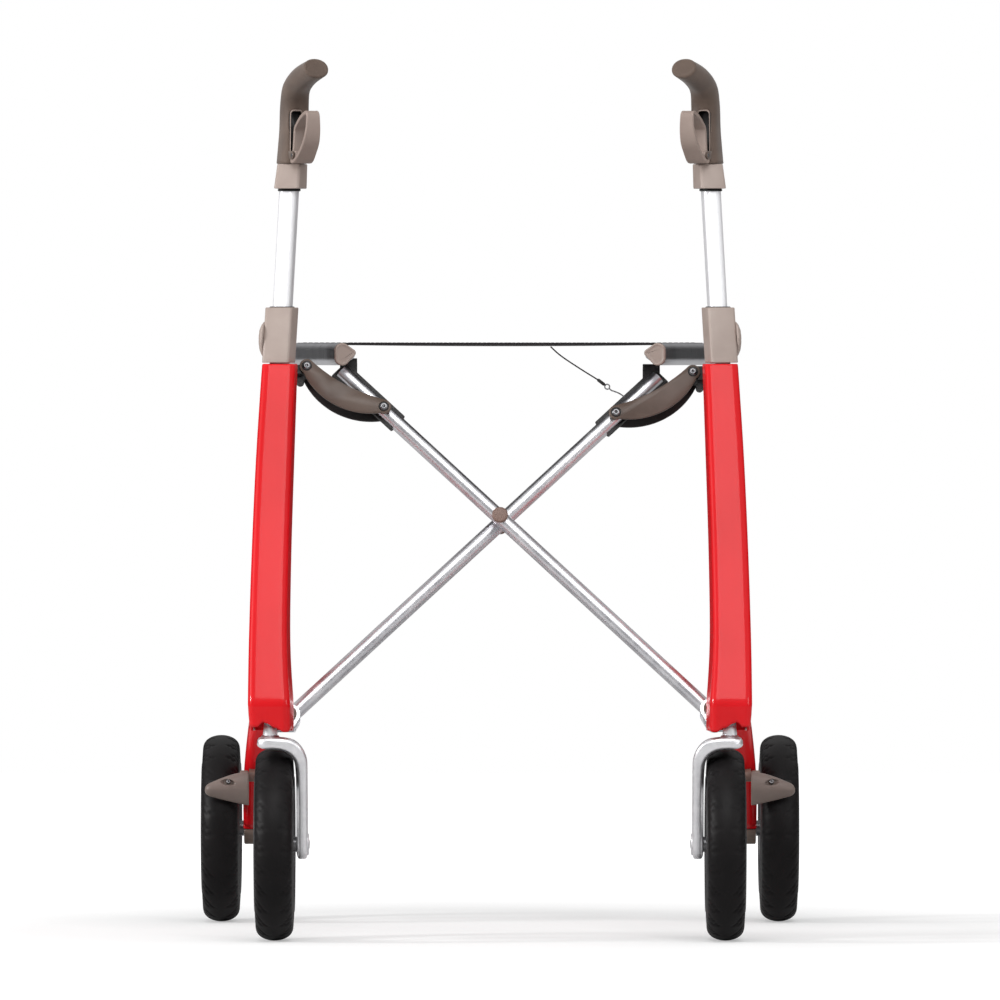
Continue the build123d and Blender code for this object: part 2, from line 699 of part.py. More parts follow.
def seat(left_rail):
    """Seat cloth between the rails, drawn as a plain sheet."""
    front_y = RAIL_FRONT[1] + 5.0
    depth = RAIL_LENGTH * cos(radians(RAIL_TOE)) - 12.0
    wide_front = -RAIL_FRONT[0] - 1.0
    wide_back = wide_front + depth * tan(radians(RAIL_TOE))
    with BuildSketch() as outline:
        with BuildLine():
            Polyline(
                (-wide_front, front_y), (wide_front, front_y), (wide_back, front_y + depth),
                (-wide_back, front_y + depth), (-wide_front, front_y),
            )
        make_face()
    body = Pos(0, 0, SEAT_TOP - SEAT_T) * extrude(outline.sketch, SEAT_T)
    swollen = rail_piece(-2.0, RAIL_LENGTH + 2.0, -0.4)
    return body - swollen - mirrored(swollen)


def lanyard():
    """Elastic, ferrule, ring and wire hook that hold the folded frame shut."""
    y = RAIL_FRONT[1] + 12.0
    strap = rod(1.3, (53.0, y, 617.0), (103.0, y + 3.0, 582.0))
    ferrule = rod(2.4, (103.0, y + 3.0, 582.0), (109.5, y + 3.5, 577.0))
    loop = Plane(origin=(112.6, y + 4.0, 574.6), z_dir=(0.25, 1, 0.1)) * Torus(3.0, 0.8)
    wire = rod(0.9, (115.2, y + 4.3, 572.6), (131.0, y + 8.0, 563.6))
    return group(strap + ferrule, loop, wire)


# --- write every node -------------------------------------------------------------------

outside = frame_outside()
frame = side_frame(outside)
pair("side_frame", frame)
pair("leg_cap", leg_cap())
pair("rear_axle", rear_axle())
pair("castor_bearings", castor_bearings())
pair("brake_cable", brake_cable())
pair("height_clamp", height_clamp())
pair("height_knob", height_knob())
pair("handle_tube", handle_tube())
pair("handle_collar", handle_collar())
pair("grip", grip())
pair("brake_lever", brake_lever())
pair("handle_hardware", handle_hardware())
pair("fork", fork())
pair("fork_stem", fork_stem())
pair("front_axle", front_axle())
pair("brake_arm", brake_arm())

arm_pin = rod(ARM_PIN_R, (-279.0, *ARM_PIVOT), (-253.0, *ARM_PIVOT))
bracket = arm_bracket(outside)
write("left_frame_hardware", group(bracket, arm_pin - outside, brace_pin(-1) - outside))
write("right_frame_hardware", mirrored(group(bracket, arm_pin - outside, brace_pin(1) - outside)))
write("left_brace_lug", brace_lug(-1, outside))
write("right_brace_lug", mirrored(brace_lug(1, outside)))
write("left_link_bracket", link_bracket(1, outside))
write("right_link_bracket", mirrored(link_bracket(-1, outside)))
both("link", link)

for end, centre in (("front", FRONT_WHEEL), ("rear", REAR_WHEEL)):
    pair(f"{end}_tyre", tyre(centre))
    pair(f"{end}_wheel_hub", wheel_hub(centre))

write("brace_b_tube", brace(1))
write("brace_a_tube", mirrored(brace(-1)))
write("hub_bolt", hub_bolt())
solid_rail = rail_piece(-1.0, RAIL_LENGTH + 1.0, -0.2)
both("rail_saddle", lambda side: rail_saddle(side, solid_rail))
pair("seat_rail", seat_rail())
pair("rail_caps", group(*rail_caps()))
write("seat", seat(solid_rail))
write("lanyard", lanyard())
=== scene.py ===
"""Looks of the folding rollator walker: shells, grips, wheels, castings and seat around the CAD frame.

Metres, in the CAD's frame: X to the right, the front faces -Y, Z up. Shapes are worked out in millimetres.
Left pieces are made at X < 0; the right ones are their mirror images.
"""
import math

import bmesh
import bpy
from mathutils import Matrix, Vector


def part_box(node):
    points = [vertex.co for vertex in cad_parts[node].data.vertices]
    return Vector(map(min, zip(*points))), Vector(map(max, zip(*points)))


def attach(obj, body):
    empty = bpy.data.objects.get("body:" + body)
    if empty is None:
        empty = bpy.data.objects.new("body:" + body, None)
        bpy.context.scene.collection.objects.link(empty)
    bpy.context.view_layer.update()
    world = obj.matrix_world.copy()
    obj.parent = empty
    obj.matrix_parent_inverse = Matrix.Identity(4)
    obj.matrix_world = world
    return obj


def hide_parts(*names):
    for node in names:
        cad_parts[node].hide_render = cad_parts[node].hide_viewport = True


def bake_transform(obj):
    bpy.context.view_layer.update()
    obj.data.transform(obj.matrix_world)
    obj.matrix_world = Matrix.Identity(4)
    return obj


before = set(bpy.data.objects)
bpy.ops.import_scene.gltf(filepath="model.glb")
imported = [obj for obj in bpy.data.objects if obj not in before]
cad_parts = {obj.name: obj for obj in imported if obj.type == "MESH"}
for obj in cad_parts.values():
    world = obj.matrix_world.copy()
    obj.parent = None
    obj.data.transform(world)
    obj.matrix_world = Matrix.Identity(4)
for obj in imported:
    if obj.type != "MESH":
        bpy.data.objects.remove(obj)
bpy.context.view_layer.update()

SIDES = (("left", 1.0), ("right", -1.0))
MM = 0.001
LEAN = math.radians(20.0)
RIGHT, BACK, HIGH = Vector((1.0, 0.0, 0.0)), Vector((0.0, 1.0, 0.0)), Vector((0.0, 0.0, 1.0))


# --- colours and materials ---


def srgb(red, green, blue):
    """8-bit display colour to linear RGBA."""
    out = []
    for value in (red, green, blue):
        c = value / 255.0
        out.append(c / 12.92 if c <= 0.04045 else ((c + 0.055) / 1.055) ** 2.4)
    return (*out, 1.0)


def assign(thing, **values):
    """Set several attributes of a thing."""
    for key, value in values.items():
        setattr(thing, key, value)
    return thing


class Nodes:
    """A small helper round one node tree."""

    def __init__(self, tree):
        self.tree = tree

    def node(self, kind, inputs=None, **settings):
        """New node with its settings and the values of its inputs."""
        made = assign(self.tree.nodes.new(kind), **settings)
        for key, value in (inputs or {}).items():
            made.inputs[key].default_value = value
        return made

    def link(self, source, target):
        self.tree.links.new(source, target)

    def math(self, operation, first, second):
        made = self.node("ShaderNodeMath", operation=operation)
        for slot, value in enumerate((first, second)):
            if isinstance(value, (int, float)):
                made.inputs[slot].default_value = value
            else:
                self.link(value, made.inputs[slot])
        return made.outputs[0]

    def ramp(self, factor, stops):
        made = self.node("ShaderNodeValToRGB")
        elements = made.color_ramp.elements
        while len(elements) < len(stops):
            elements.new(0.5)
        for element, (position, colour) in zip(elements, stops):
            assign(element, position=position, color=colour)
        self.link(factor, made.inputs["Fac"])
        return made.outputs["Color"]

    def spread(self, factor, low, high, start=0.0, end=1.0):
        """Turn a factor between start and end into a value between low and high."""
        values = {"From Min": start, "From Max": end, "To Min": low, "To Max": high}
        made = self.node("ShaderNodeMapRange", values)
        self.link(factor, made.inputs["Value"])
        return made.outputs["Result"]


class Shader(Nodes):
    """A new material: its surface shader, and textures placed by the object's own coordinates."""

    def __init__(self, name, rough=0.5, metal=0.0, coat=0.0, coat_rough=0.05, specular=0.5, sheen=0.0):
        self.material = bpy.data.materials.new(name)
        self.material.use_nodes = True
        super().__init__(self.material.node_tree)
        self.surface = self.tree.nodes["Principled BSDF"]
        self.set("Roughness", rough)
        self.set("Metallic", metal)
        self.set("Coat Weight", coat)
        self.set("Coat Roughness", coat_rough)
        self.set("Specular IOR Level", specular)
        self.set("Sheen Weight", sheen)
        self.place = self.node("ShaderNodeTexCoord").outputs["Object"]

    def set(self, socket, value):
        self.surface.inputs[socket].default_value = value

    def stretched(self, scale):
        mapping = self.node("ShaderNodeMapping", {"Scale": scale})
        self.link(self.place, mapping.inputs["Vector"])
        return mapping.outputs["Vector"]

    def noise(self, scale, detail=3.0, vector=None):
        tex = self.node("ShaderNodeTexNoise", {"Scale": scale, "Detail": detail, "Roughness": 0.55})
        self.link(vector or self.place, tex.inputs["Vector"])
        return tex.outputs["Fac"]

    def colour(self, factor, low, shade, high, base):
        """Base colour that goes from shade to base as the factor goes from low to high."""
        self.link(self.ramp(factor, [(low, shade), (high, base)]), self.surface.inputs["Base Color"])

    def gloss(self, factor, low, high):
        """Roughness that varies between low and high."""
        self.link(self.spread(factor, low, high), self.surface.inputs["Roughness"])

    def bump(self, height, strength, distance):
        made = self.node("ShaderNodeBump", {"Strength": strength, "Distance": distance})
        self.link(height, made.inputs["Height"])
        self.link(made.outputs["Normal"], self.surface.inputs["Normal"])


def mottled(name, patch, grain, gloss, **surface):
    """Two close colours in soft patches, a grain that stands up, and a gloss that wanders.

    patch is noise scale, detail, then the two ramp stops with their colours. grain is noise scale, detail,
    strength and height in metres. gloss is noise scale and two roughness values.
    """
    s = Shader(name, **surface)
    s.colour(s.noise(*patch[:2]), *patch[2:])
    s.bump(s.noise(*grain[:2]), *grain[2:])
    s.gloss(s.noise(gloss[0]), *gloss[1:])
    return s


def lacquer(name, deep, light):
    """Clear-coated carbon moulding in a deep colour with a trace of orange peel."""
    s = mottled(name, (9.0, 2.0, 0.3, deep, 0.75, light), (240.0, 2.0, 0.05, 0.0004), (14.0, 0.36, 0.48),
                rough=0.42, coat=0.35, coat_rough=0.08, specular=0.25)
    s.set("IOR", 1.35)
    return s.material


def moulded(name, base, shade, rough=0.5, grain=1400.0, strength=0.25):
    """Moulded plastic with a fine spark-eroded grain and faint flow marks."""
    return mottled(name, (26.0, 4.0, 0.3, shade, 0.7, base), (grain, 2.0, strength, 0.00025),
                   (60.0, rough - 0.07, rough + 0.08), rough=rough, specular=0.45).material


def soft_touch(name, base, shade):
    """Soft rubber of the grips: matt, slightly dusty, with fine pores."""
    s = Shader(name, rough=0.62, specular=0.35, sheen=0.25)
    s.set("Sheen Roughness", 0.5)
    s.colour(s.noise(38.0, 5.0), 0.32, shade, 0.7, base)
    cells = s.node("ShaderNodeTexVoronoi", {"Scale": 900.0})
    s.link(s.place, cells.inputs["Vector"])
    s.bump(cells.outputs["Distance"], 0.25, 0.0003)
    s.gloss(s.noise(80.0), 0.52, 0.7)
    return s.material


def drawn(name, base, shade, stretch, gloss, bump, **surface):
    """Fine drawing lines in colour, gloss and height."""
    s = Shader(name, **surface)
    lines = s.noise(1.0, 3.0, s.stretched(stretch))
    s.colour(lines, 0.25, shade, 0.75, base)
    s.gloss(lines, *gloss)
    s.bump(lines, *bump)
    return s.material


def brushed(name, base, shade, rough=0.3, stretch=(40, 900, 40)):
    """Drawn or brushed bare metal."""
    gloss = (rough - 0.08, rough + 0.12)
    return drawn(name, base, shade, stretch, gloss, (0.03, 0.0001), rough=rough, metal=1.0)


def satin_tube(name, base, shade):
    """Pale anodised tube: part white, part metal, with faint lines along it."""
    return drawn(name, base, shade, (1100, 1100, 24), (0.36, 0.5), (0.05, 0.0002),
                 rough=0.42, metal=0.35, specular=0.6)


def cast_metal(name, base, shade):
    """Blasted and anodised casting with a soft sparkle."""
    return mottled(name, (120.0, 5.0, 0.3, shade, 0.7, base), (1500.0, 3.0, 0.3, 0.0003), (90.0, 0.3, 0.5),
                   rough=0.33, metal=1.0).material


def tyre_rubber(name, base, shade):
    """Solid soft tyre: near black, faintly mottled, with a fine moulding grain."""
    return mottled(name, (30.0, 5.0, 0.3, shade, 0.72, base), (900.0, 3.0, 0.15, 0.0003), (40.0, 0.42, 0.6),
                   rough=0.33, specular=0.17).material


def woven(name, base, shade):
    """Coated seat cloth: a tight plain weave drawn by two crossed waves."""
    s = Shader(name, rough=0.75, specular=0.2, sheen=0.1)
    values = {"Scale": 330.0, "Distortion": 0.6}
    waves = [s.node("ShaderNodeTexWave", values, bands_direction=way) for way in "XY"]
    for wave in waves:
        s.link(s.place, wave.inputs["Vector"])
    cloth = s.math("MAXIMUM", waves[0].outputs["Fac"], waves[1].outputs["Fac"])
    s.colour(cloth, 0.2, shade, 0.9, base)
    s.bump(cloth, 0.6, 0.0004)
    s.gloss(s.noise(50.0), 0.65, 0.85)
    return s.material


MATERIAL = {
    "red": lacquer("red_lacquer", srgb(208, 6, 16), srgb(224, 12, 26)),
    "taupe_light": moulded("taupe_light", srgb(172, 157, 149), srgb(160, 144, 136), 0.46),
    # the taupe plastic darkened for the brake arm: painted shade
    "taupe_arm_painted_shade": moulded("taupe_arm_painted_shade", srgb(124, 110, 103), srgb(111, 98, 92), 0.46),
    "taupe_cap": moulded("taupe_cap", srgb(160, 144, 136), srgb(148, 132, 124), 0.46),
    "umber": moulded("umber_plastic", srgb(124, 98, 88), srgb(108, 85, 76), 0.46),
    "brace": brushed("brace_tube", srgb(226, 226, 229), srgb(200, 200, 205), 0.34, (60, 60, 60)),
    "taupe": moulded("taupe_plastic", srgb(160, 143, 134), srgb(147, 130, 122), 0.48),
    "taupe_dark": moulded("taupe_dark", srgb(128, 112, 102), srgb(112, 97, 88), 0.5),
    "grip": soft_touch("soft_grip", srgb(100, 83, 72), srgb(84, 69, 60)),
    "black": moulded("black_plastic", srgb(24, 22, 22), srgb(15, 14, 14), 0.5),
    "bronze": moulded("bronze_plate", srgb(104, 88, 78), srgb(86, 72, 64), 0.42, 1800.0, 0.15),
    "tube": brushed("drawn_tube", srgb(226, 226, 229), srgb(198, 198, 203), 0.3),
    "handle": satin_tube("handle_tube", srgb(247, 247, 249), srgb(238, 238, 241)),
    "cast": cast_metal("cast_silver", srgb(252, 252, 254), srgb(238, 238, 241)),
    "steel": brushed("turned_steel", srgb(150, 150, 152), srgb(104, 104, 107), 0.28),
    "tyre": tyre_rubber("tyre_rubber", srgb(20, 17, 18), srgb(10, 8, 9)),
    "wheel": moulded("wheel_grey", srgb(58, 57, 59), srgb(44, 43, 45), 0.42),
    "cloth": woven("seat_cloth", srgb(34, 31, 33), srgb(13, 12, 13)),
    "thread": moulded("thread", srgb(46, 42, 43), srgb(36, 33, 34), 0.7),
}


# --- mesh helpers ---
# Shapes are (points in millimetres, faces) of a left piece until add_piece makes the object.

CENTRE = ("", 1.0)


def add_object(name, data):
    made = bpy.data.objects.new(name, data)
    bpy.context.collection.objects.link(made)
    return made


def new_object(name, sign, shape, key):
    """Object from a shape, with its faces turned outwards; sign -1 mirrors it."""
    mesh = bpy.data.meshes.new(name)
    mesh.from_pydata([(v[0] * sign * MM, v[1] * MM, v[2] * MM) for v in shape[0]], [], shape[1])
    cleaned = bmesh.new()
    cleaned.from_mesh(mesh)
    bmesh.ops.recalc_face_normals(cleaned, faces=cleaned.faces)
    cleaned.to_mesh(mesh)
    cleaned.free()
    mesh.materials.append(MATERIAL[key])
    return add_object(name, mesh)


def add_piece(name, side, shape, key, body, hides="", levels=0, bevel=0.0):
    """One mesh piece, riding on its side's body; hides names the CAD node it stands for."""
    label, sign = side
    prefix = f"{label}_" if label else ""
    made = new_object(prefix + name, sign, shape, key)
    made.data.shade_smooth()
    if bevel:
        assign(made.modifiers.new("bevel", "BEVEL"), width=bevel * MM, segments=3, limit_method="ANGLE",
               angle_limit=math.radians(38), harden_normals=True)
    if levels:
        assign(made.modifiers.new("smooth", "SUBSURF"), levels=levels, render_levels=levels)
    if hides:
        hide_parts(prefix + hides)
    if body:
        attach(made, prefix + body)
    return made


def carve(piece, side, shape):
    """Cut a closed shape out of a piece and keep the result as its mesh."""
    cutter = new_object("cutter", side[1], shape, "black")
    assign(piece.modifiers.new("cut", "BOOLEAN"), operation="DIFFERENCE", solver="EXACT", object=cutter)
    bpy.context.view_layer.update()
    seen = piece.evaluated_get(bpy.context.evaluated_depsgraph_get())
    mesh = bpy.data.meshes.new_from_object(seen)
    piece.modifiers.clear()
    piece.data = mesh
    bpy.data.objects.remove(cutter)


def loft(rings, closed=False):
    """Quads between rings of the same number of points; an open run is capped at both ends."""
    count = len(rings[0])
    verts = [point for ring in rings for point in ring]
    faces = []
    for i in range(len(rings) if closed else len(rings) - 1):
        a, b = i * count, ((i + 1) % len(rings)) * count
        for k in range(count):
            n = (k + 1) % count
            faces.append((a + k, a + n, b + n, b + k))
    if not closed:
        faces.append(tuple(reversed(range(count))))
        faces.append(tuple(range(len(verts) - count, len(verts))))
    return verts, faces


def merge(*shapes):
    """Several shapes as one."""
    verts, faces = [], []
    for more_verts, more_faces in shapes:
        base = len(verts)
        verts.extend(more_verts)
        faces.extend(tuple(i + base for i in face) for face in more_faces)
    return verts, faces


def rounded_ring(centre, across, along, width, depth, radius, steps=5, mids=2):
    """Points round a rounded rectangle in the plane of two unit directions."""
    half_w, half_d = width / 2 - radius, depth / 2 - radius
    corners = ((half_w, -half_d, -90), (half_w, half_d, 0), (-half_w, half_d, 90), (-half_w, -half_d, 180))
    flat = []
    for cx, cy, first in corners:
        for k in range(steps + 1):
            angle = math.radians(first + 90.0 * k / steps)
            flat.append((cx + radius * math.cos(angle), cy + radius * math.sin(angle)))
    points = []
    for i, here in enumerate(flat):
        points.append(here)
        if (i + 1) % (steps + 1) == 0:
            there = flat[(i + 1) % len(flat)]
            for m in range(1, mids + 1):
                t = m / (mids + 1)
                points.append((here[0] + (there[0] - here[0]) * t, here[1] + (there[1] - here[1]) * t))
    return [centre + across * u + along * v for u, v in points]


def circle(count):
    """Cosine and sine of evenly spaced angles."""
    return [(math.cos(2 * math.pi * k / count), math.sin(2 * math.pi * k / count)) for k in range(count)]


def oval_ring(centre, across, along, a, b, power, count, below=None):
    """Points round a superellipse. below is the power of its lower half; a small power makes a keel."""
    points = []
    for c, s in circle(count):
        bend = 2 / (below if below and s < 0 else power)
        u, v = math.copysign(abs(c) ** bend * a, c), math.copysign(abs(s) ** bend * b, s)
        points.append(centre + across * u + along * v)
    return points


def between(quad, t):
    """Catmull-Rom value between the two middle stations of four."""
    return tuple(
        0.5 * (2 * b + (c - a) * t + (2 * a - 5 * b + 4 * c - d) * t * t + (3 * b - a - 3 * c + d) * t**3)
        for a, b, c, d in zip(*quad)
    )


def spline(stations, steps, closed=False):
    """Smooth rows of numbers through stations."""
    out = []
    count = len(stations)
    for i in range(count if closed else count - 1):
        places = [(i + j) % count if closed else min(max(i + j, 0), count - 1) for j in (-1, 0, 1, 2)]
        quad = [stations[place] for place in places]
        out += [between(quad, k / steps) for k in range(steps)]
    if not closed:
        out.append(tuple(float(v) for v in stations[-1]))
    return out


def around(axis):
    """The axis and two directions square to it, all of unit length."""
    axis = Vector(axis).normalized()
    side = axis.orthogonal().normalized()
    return axis, side, axis.cross(side)


def lathe(profile, origin, axis, count=40, closed=False):
    """Turn a profile of (radius, distance along the axis). A closed one is a ring with a bore."""
    axis, side, other = around(axis)
    rings = []
    for radius, distance in profile:
        middle = Vector(origin) + axis * distance
        rings.append([middle + (side * c + other * s) * max(radius, 0.01) for c, s in circle(count)])
    return loft(rings, closed)


def both_ways(half, *middle):
    """A profile of (radius, distance): one half, what lies between, and the half's mirror image."""
    return [*half, *middle, *((radius, -distance) for radius, distance in reversed(half))]


def round_plate(outline, place, low, high, edge):
    """Plate with a rounded rim, drawn in by edge at both faces. place turns (u, v, height) into a point."""
    rings = []
    mid_u = sum(p[0] for p in outline) / len(outline)
    mid_v = sum(p[1] for p in outline) / len(outline)
    for height, inset in ((low, edge), (low + edge * 0.3, edge * 0.3), (low + edge, 0.0),
                          (high - edge, 0.0), (high - edge * 0.3, edge * 0.3), (high, edge)):
        ring = []
        for u, v in outline:
            keep = max(0.0, 1.0 - inset / math.hypot(u - mid_u, v - mid_v))
            ring.append(place(mid_u + (u - mid_u) * keep, mid_v + (v - mid_v) * keep, height))
        rings.append(ring)
    return loft(rings)


def upright(y, z, x):
    """Point of a plate that stands front to back."""
    return Vector((x, y, z))


def arc_through(first, middle, last, count):
    """Points on the circle through three flat points, without the last one."""
    (ax, ay), (bx, by), (cx, cy) = first, middle, last
    d = 2 * (ax * (by - cy) + bx * (cy - ay) + cx * (ay - by))
    a2, b2, c2 = ax * ax + ay * ay, bx * bx + by * by, cx * cx + cy * cy
    ux = (a2 * (by - cy) + b2 * (cy - ay) + c2 * (ay - by)) / d
    uy = (a2 * (cx - bx) + b2 * (ax - cx) + c2 * (bx - ax)) / d
    radius = math.hypot(ax - ux, ay - uy)
    start = math.atan2(ay - uy, ax - ux)
    mid = (math.atan2(by - uy, bx - ux) - start) % (2 * math.pi)
    end = (math.atan2(cy - uy, cx - ux) - start) % (2 * math.pi)
    if mid > end:
        end -= 2 * math.pi
    out = []
    for k in range(count):
        angle = start + end * k / count
        out.append((ux + radius * math.cos(angle), uy + radius * math.sin(angle)))
    return out


def hull_outline(circles, count=48):
    """Outline round circles given as (u, v, radius)."""
    points = []
    for c, s in circle(count):
        u, v, r = max(circles, key=lambda item: item[0] * c + item[1] * s + item[2])
        points.append((u + r * c, v + r * s))
    return points


def button_head(origin, axis, radius, height):
    """Button-head screw with a hexagon socket."""
    count, socket = 30, 0.42 * radius
    profile = [(radius, -0.4), (radius, height * 0.35), (radius * 0.88, height * 0.78),
               (radius * 0.62, height), (socket * 1.12, height)]
    verts, faces = lathe(profile, origin, axis, count)
    faces.pop()
    rim = len(verts) - count
    axis, side, other = around(axis)
    for depth in (height, height * 0.3):
        for k, (c, s) in enumerate(circle(count)):
            turn = (2 * math.pi * k / count) % (math.pi / 3) - math.pi / 6
            reach = socket * 0.9 / math.cos(turn)
            verts.append(Vector(origin) + axis * depth + (side * c + other * s) * reach)
    for upper in (rim, rim + count):
        for k in range(count):
            n = (k + 1) % count
            faces.append((upper + k, upper + n, upper + count + n, upper + count + k))
    faces.append(tuple(range(rim + 2 * count, rim + 3 * count)))
    return verts, faces


# --- shared positions (millimetres) ---
# The column and handle lean back 20 degrees; the folding cross lies in a plane that leans with them.

STEM = Vector((-238.0, -263.0, 225.0))
STEM_R = 4.5
WHEEL_R, TYRE_HALF, RIM_R, HUB_R, BORE_R = 100.0, 20.0, 71.0, 15.0, 11.2
FRONT_WHEEL = Vector((-234.2, -225.0, WHEEL_R))
REAR_WHEEL = Vector((-299.0, 225.0, WHEEL_R))
HUB_Z, HUB_BEHIND = 435.0, 51.1
OUT = Vector((0.0, -math.cos(LEAN), math.sin(LEAN)))
UP = Vector((0.0, math.sin(LEAN), math.cos(LEAN)))
BRACE_N, OPEN = 9.0, math.radians(44.3)
LINK_PIVOT = (-202.5, 163.9)
LINK_LENGTH, LINK_T, LINK_GAP, BOSS_R = 170.0, 3.0, 11.2, 7.8
LINK_END = (-LINK_LENGTH * math.cos(OPEN), LINK_LENGTH * math.sin(OPEN))
(_, SEAT_FRONT, SEAT_BOTTOM), (_, SEAT_BACK, SEAT_TOP) = [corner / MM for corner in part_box("seat")]


def column_y(z):
    """Y of the column's centre line at height z."""
    return STEM.y + (z - STEM.z) * math.tan(LEAN)


def handle_x(z):
    """X of the left handle tube's centre line at height z."""
    return -227.3 + (z - 666.0) * 0.05


HUB = Vector((0.0, column_y(HUB_Z) + HUB_BEHIND, HUB_Z))


def cross(x, v, n):
    """Point in the folding cross: across, up its plane, out towards the front."""
    return HUB + RIGHT * x + UP * v + OUT * n


def level_pair(toe):
    """Across and along directions of a level section turned clockwise by toe degrees."""
    t = math.radians(-toe)
    return Vector((math.cos(t), math.sin(t), 0)), Vector((-math.sin(t), math.cos(t), 0))


# --- side frame ---

COLUMN = ((247.0, -237.6, 44.0, 50.0), (310.0, -239.2, 40.0, 46.5), (400.0, -237.8, 38.6, 43.0),
          (500.0, -234.6, 37.6, 40.0), (599.0, -230.3, 35.0, 37.0))
LEG = ((-238.5, -205.0, 352.0, 15.0, 22.0, 40.0), (-240.5, -90.0, 322.0, 19.0, 22.0, 36.0),
       (-246.0, 25.0, 268.0, 31.0, 22.0, 34.0), (-256.0, 105.0, 211.0, 39.0, 22.5, 33.0),
       (-262.5, 168.0, 155.0, 44.0, 23.0, 33.0), (-263.6, 211.0, 113.0, 45.0, 23.0, 33.0))
BOOT_TOP, BOOT_BOTTOM = 247.0, 219.0
MOUTH_Z, MOUTH_X, MOUTH_WIDTH, MOUTH_DEPTH, WALL = 220.0, -236.8, 42.8, 46.6, 2.6
COLUMN_CORNER = 7.0
# X and height of the boot's lower edge, from the outside inwards
BOOT_EDGE = ((-264.0, 225.5), (-258.0, 223.4), (-250.8, 223.2), (-247.6, 226.8), (-245.0, 228.4),
             (-242.0, 227.0), (-232.0, 222.4), (-223.5, 218.0), (-219.5, 218.2), (-214.0, 223.0))


def boot_edge(point):
    """Height of the boot's lower edge: cut away over the castor stem, deepest near the inner corner."""
    if point.y > STEM.y + 6.0:
        return BOOT_BOTTOM
    for (x1, z1), (x2, z2) in zip(BOOT_EDGE, BOOT_EDGE[1:]):
        if point.x <= x2:
            t = min(max((point.x - x1) / (x2 - x1), 0.0), 1.0)
            t = t * t * (3 - 2 * t)
            return z1 + (z2 - z1) * t
    return BOOT_EDGE[-1][1]


def column_ring(z, x, width, depth, inset=0.0):
    across, along = level_pair(5.0)
    centre = Vector((x, column_y(max(z, BOOT_TOP)), z))
    corner = COLUMN_CORNER - inset * 0.8
    return rounded_ring(centre, across, along, width - 2 * inset, depth - 2 * inset, corner, 5, 16)


def column_shape():
    """Column with its open boot, as one closed skin that turns in at the boot's lower edge."""
    inner = column_ring(MOUTH_Z, MOUTH_X, MOUTH_WIDTH, MOUTH_DEPTH, WALL)
    outer = column_ring(MOUTH_Z, MOUTH_X, MOUTH_WIDTH, MOUTH_DEPTH)
    edge = [Vector((p.x, p.y, boot_edge(p))) for p in outer]
    rings = [[Vector((p.x, p.y, 238.0)) for p in inner], [Vector((p.x, p.y, boot_edge(p))) for p in inner]]
    rings += [edge, [p + HIGH * 3.0 for p in edge]]
    for z in (235.0, 243.5):
        t = (z - MOUTH_Z) / (BOOT_TOP - MOUTH_Z)
        rings.append(column_ring(z, MOUTH_X - 0.8 * t, MOUTH_WIDTH + 1.2 * t, MOUTH_DEPTH + 3.0 * t))
    rings += [column_ring(*row) for row in spline(COLUMN, 5)[:-1]]
    z, *section = COLUMN[-1]
    for drop, inset in ((1.6, 0.0), (0.5, 0.35), (0.0, 1.3)):
        rings.append(column_ring(z - drop, *section, inset))
    return loft(rings)


def half_oval(a, b, lift=0.0):
    """Half an oval round the rear axle, as (y, z); with a negative b it hangs below."""
    middle_y, middle_z = REAR_WHEEL.y, REAR_WHEEL.z + lift
    angles = [math.pi * k / 24 for k in range(25)]
    return [(middle_y + a * math.cos(angle), middle_z + b * math.sin(angle)) for angle in angles]


def leg_shape():
    """Rear leg that grows out of the column and ends round over the axle."""
    rings = []
    for x, y, z, slope, width, depth in spline(LEG, 5):
        s = math.radians(slope)
        square = Vector((0, math.sin(s), math.cos(s)))
        rings.append(rounded_ring(Vector((x, y, z)), RIGHT, square, width, depth, 8.0))
    return merge(loft(rings), round_plate(half_oval(17.0, 17.0), upright, -275.0, -252.5, 1.6))


def fillet_web():
    """Swelling under the leg where it leaves the column."""
    rings = []
    for k in range(7):
        share = k / 6
        centre = Vector((-238.6, -191.0 + 26.0 * share, 345.0 - 8.0 * share))
        grow = (1 - share) ** 2
        section = (22.2 + 3.0 * grow, 40.0 + 34.0 * grow, 8.0 + 3.0 * grow)
        rings.append(rounded_ring(centre, RIGHT, Vector((0, 0.27, 0.96)), *section))
    return loft(rings)


def build_side_frame(side):
    shell = merge(column_shape(), leg_shape(), fillet_web())
    add_piece("frame_shell", side, shell, "red", "frame", "side_frame")
    cap = round_plate(half_oval(16.8, -16.3, -0.8), upright, -274.6, -253.0, 1.4)
    add_piece("leg_end_cap", side, cap, "taupe_dark", "frame", "leg_cap")


# --- sleeves, knob, collar ---

TUBE = (19.0, 23.0, 7.0)
TUBE_TOE = 12.0
CLAMP = ((-231.6, 600.2, 29.0, 34.0), (-228.4, 658.0, 29.0, 34.0))
COLLAR = ((-220.4, 783.0, 27.5, 36.0), (-218.4, 809.0, 25.5, 32.5))
KNOB_Z, KNOB_R, FLUTES = 624.0, 19.5, 12


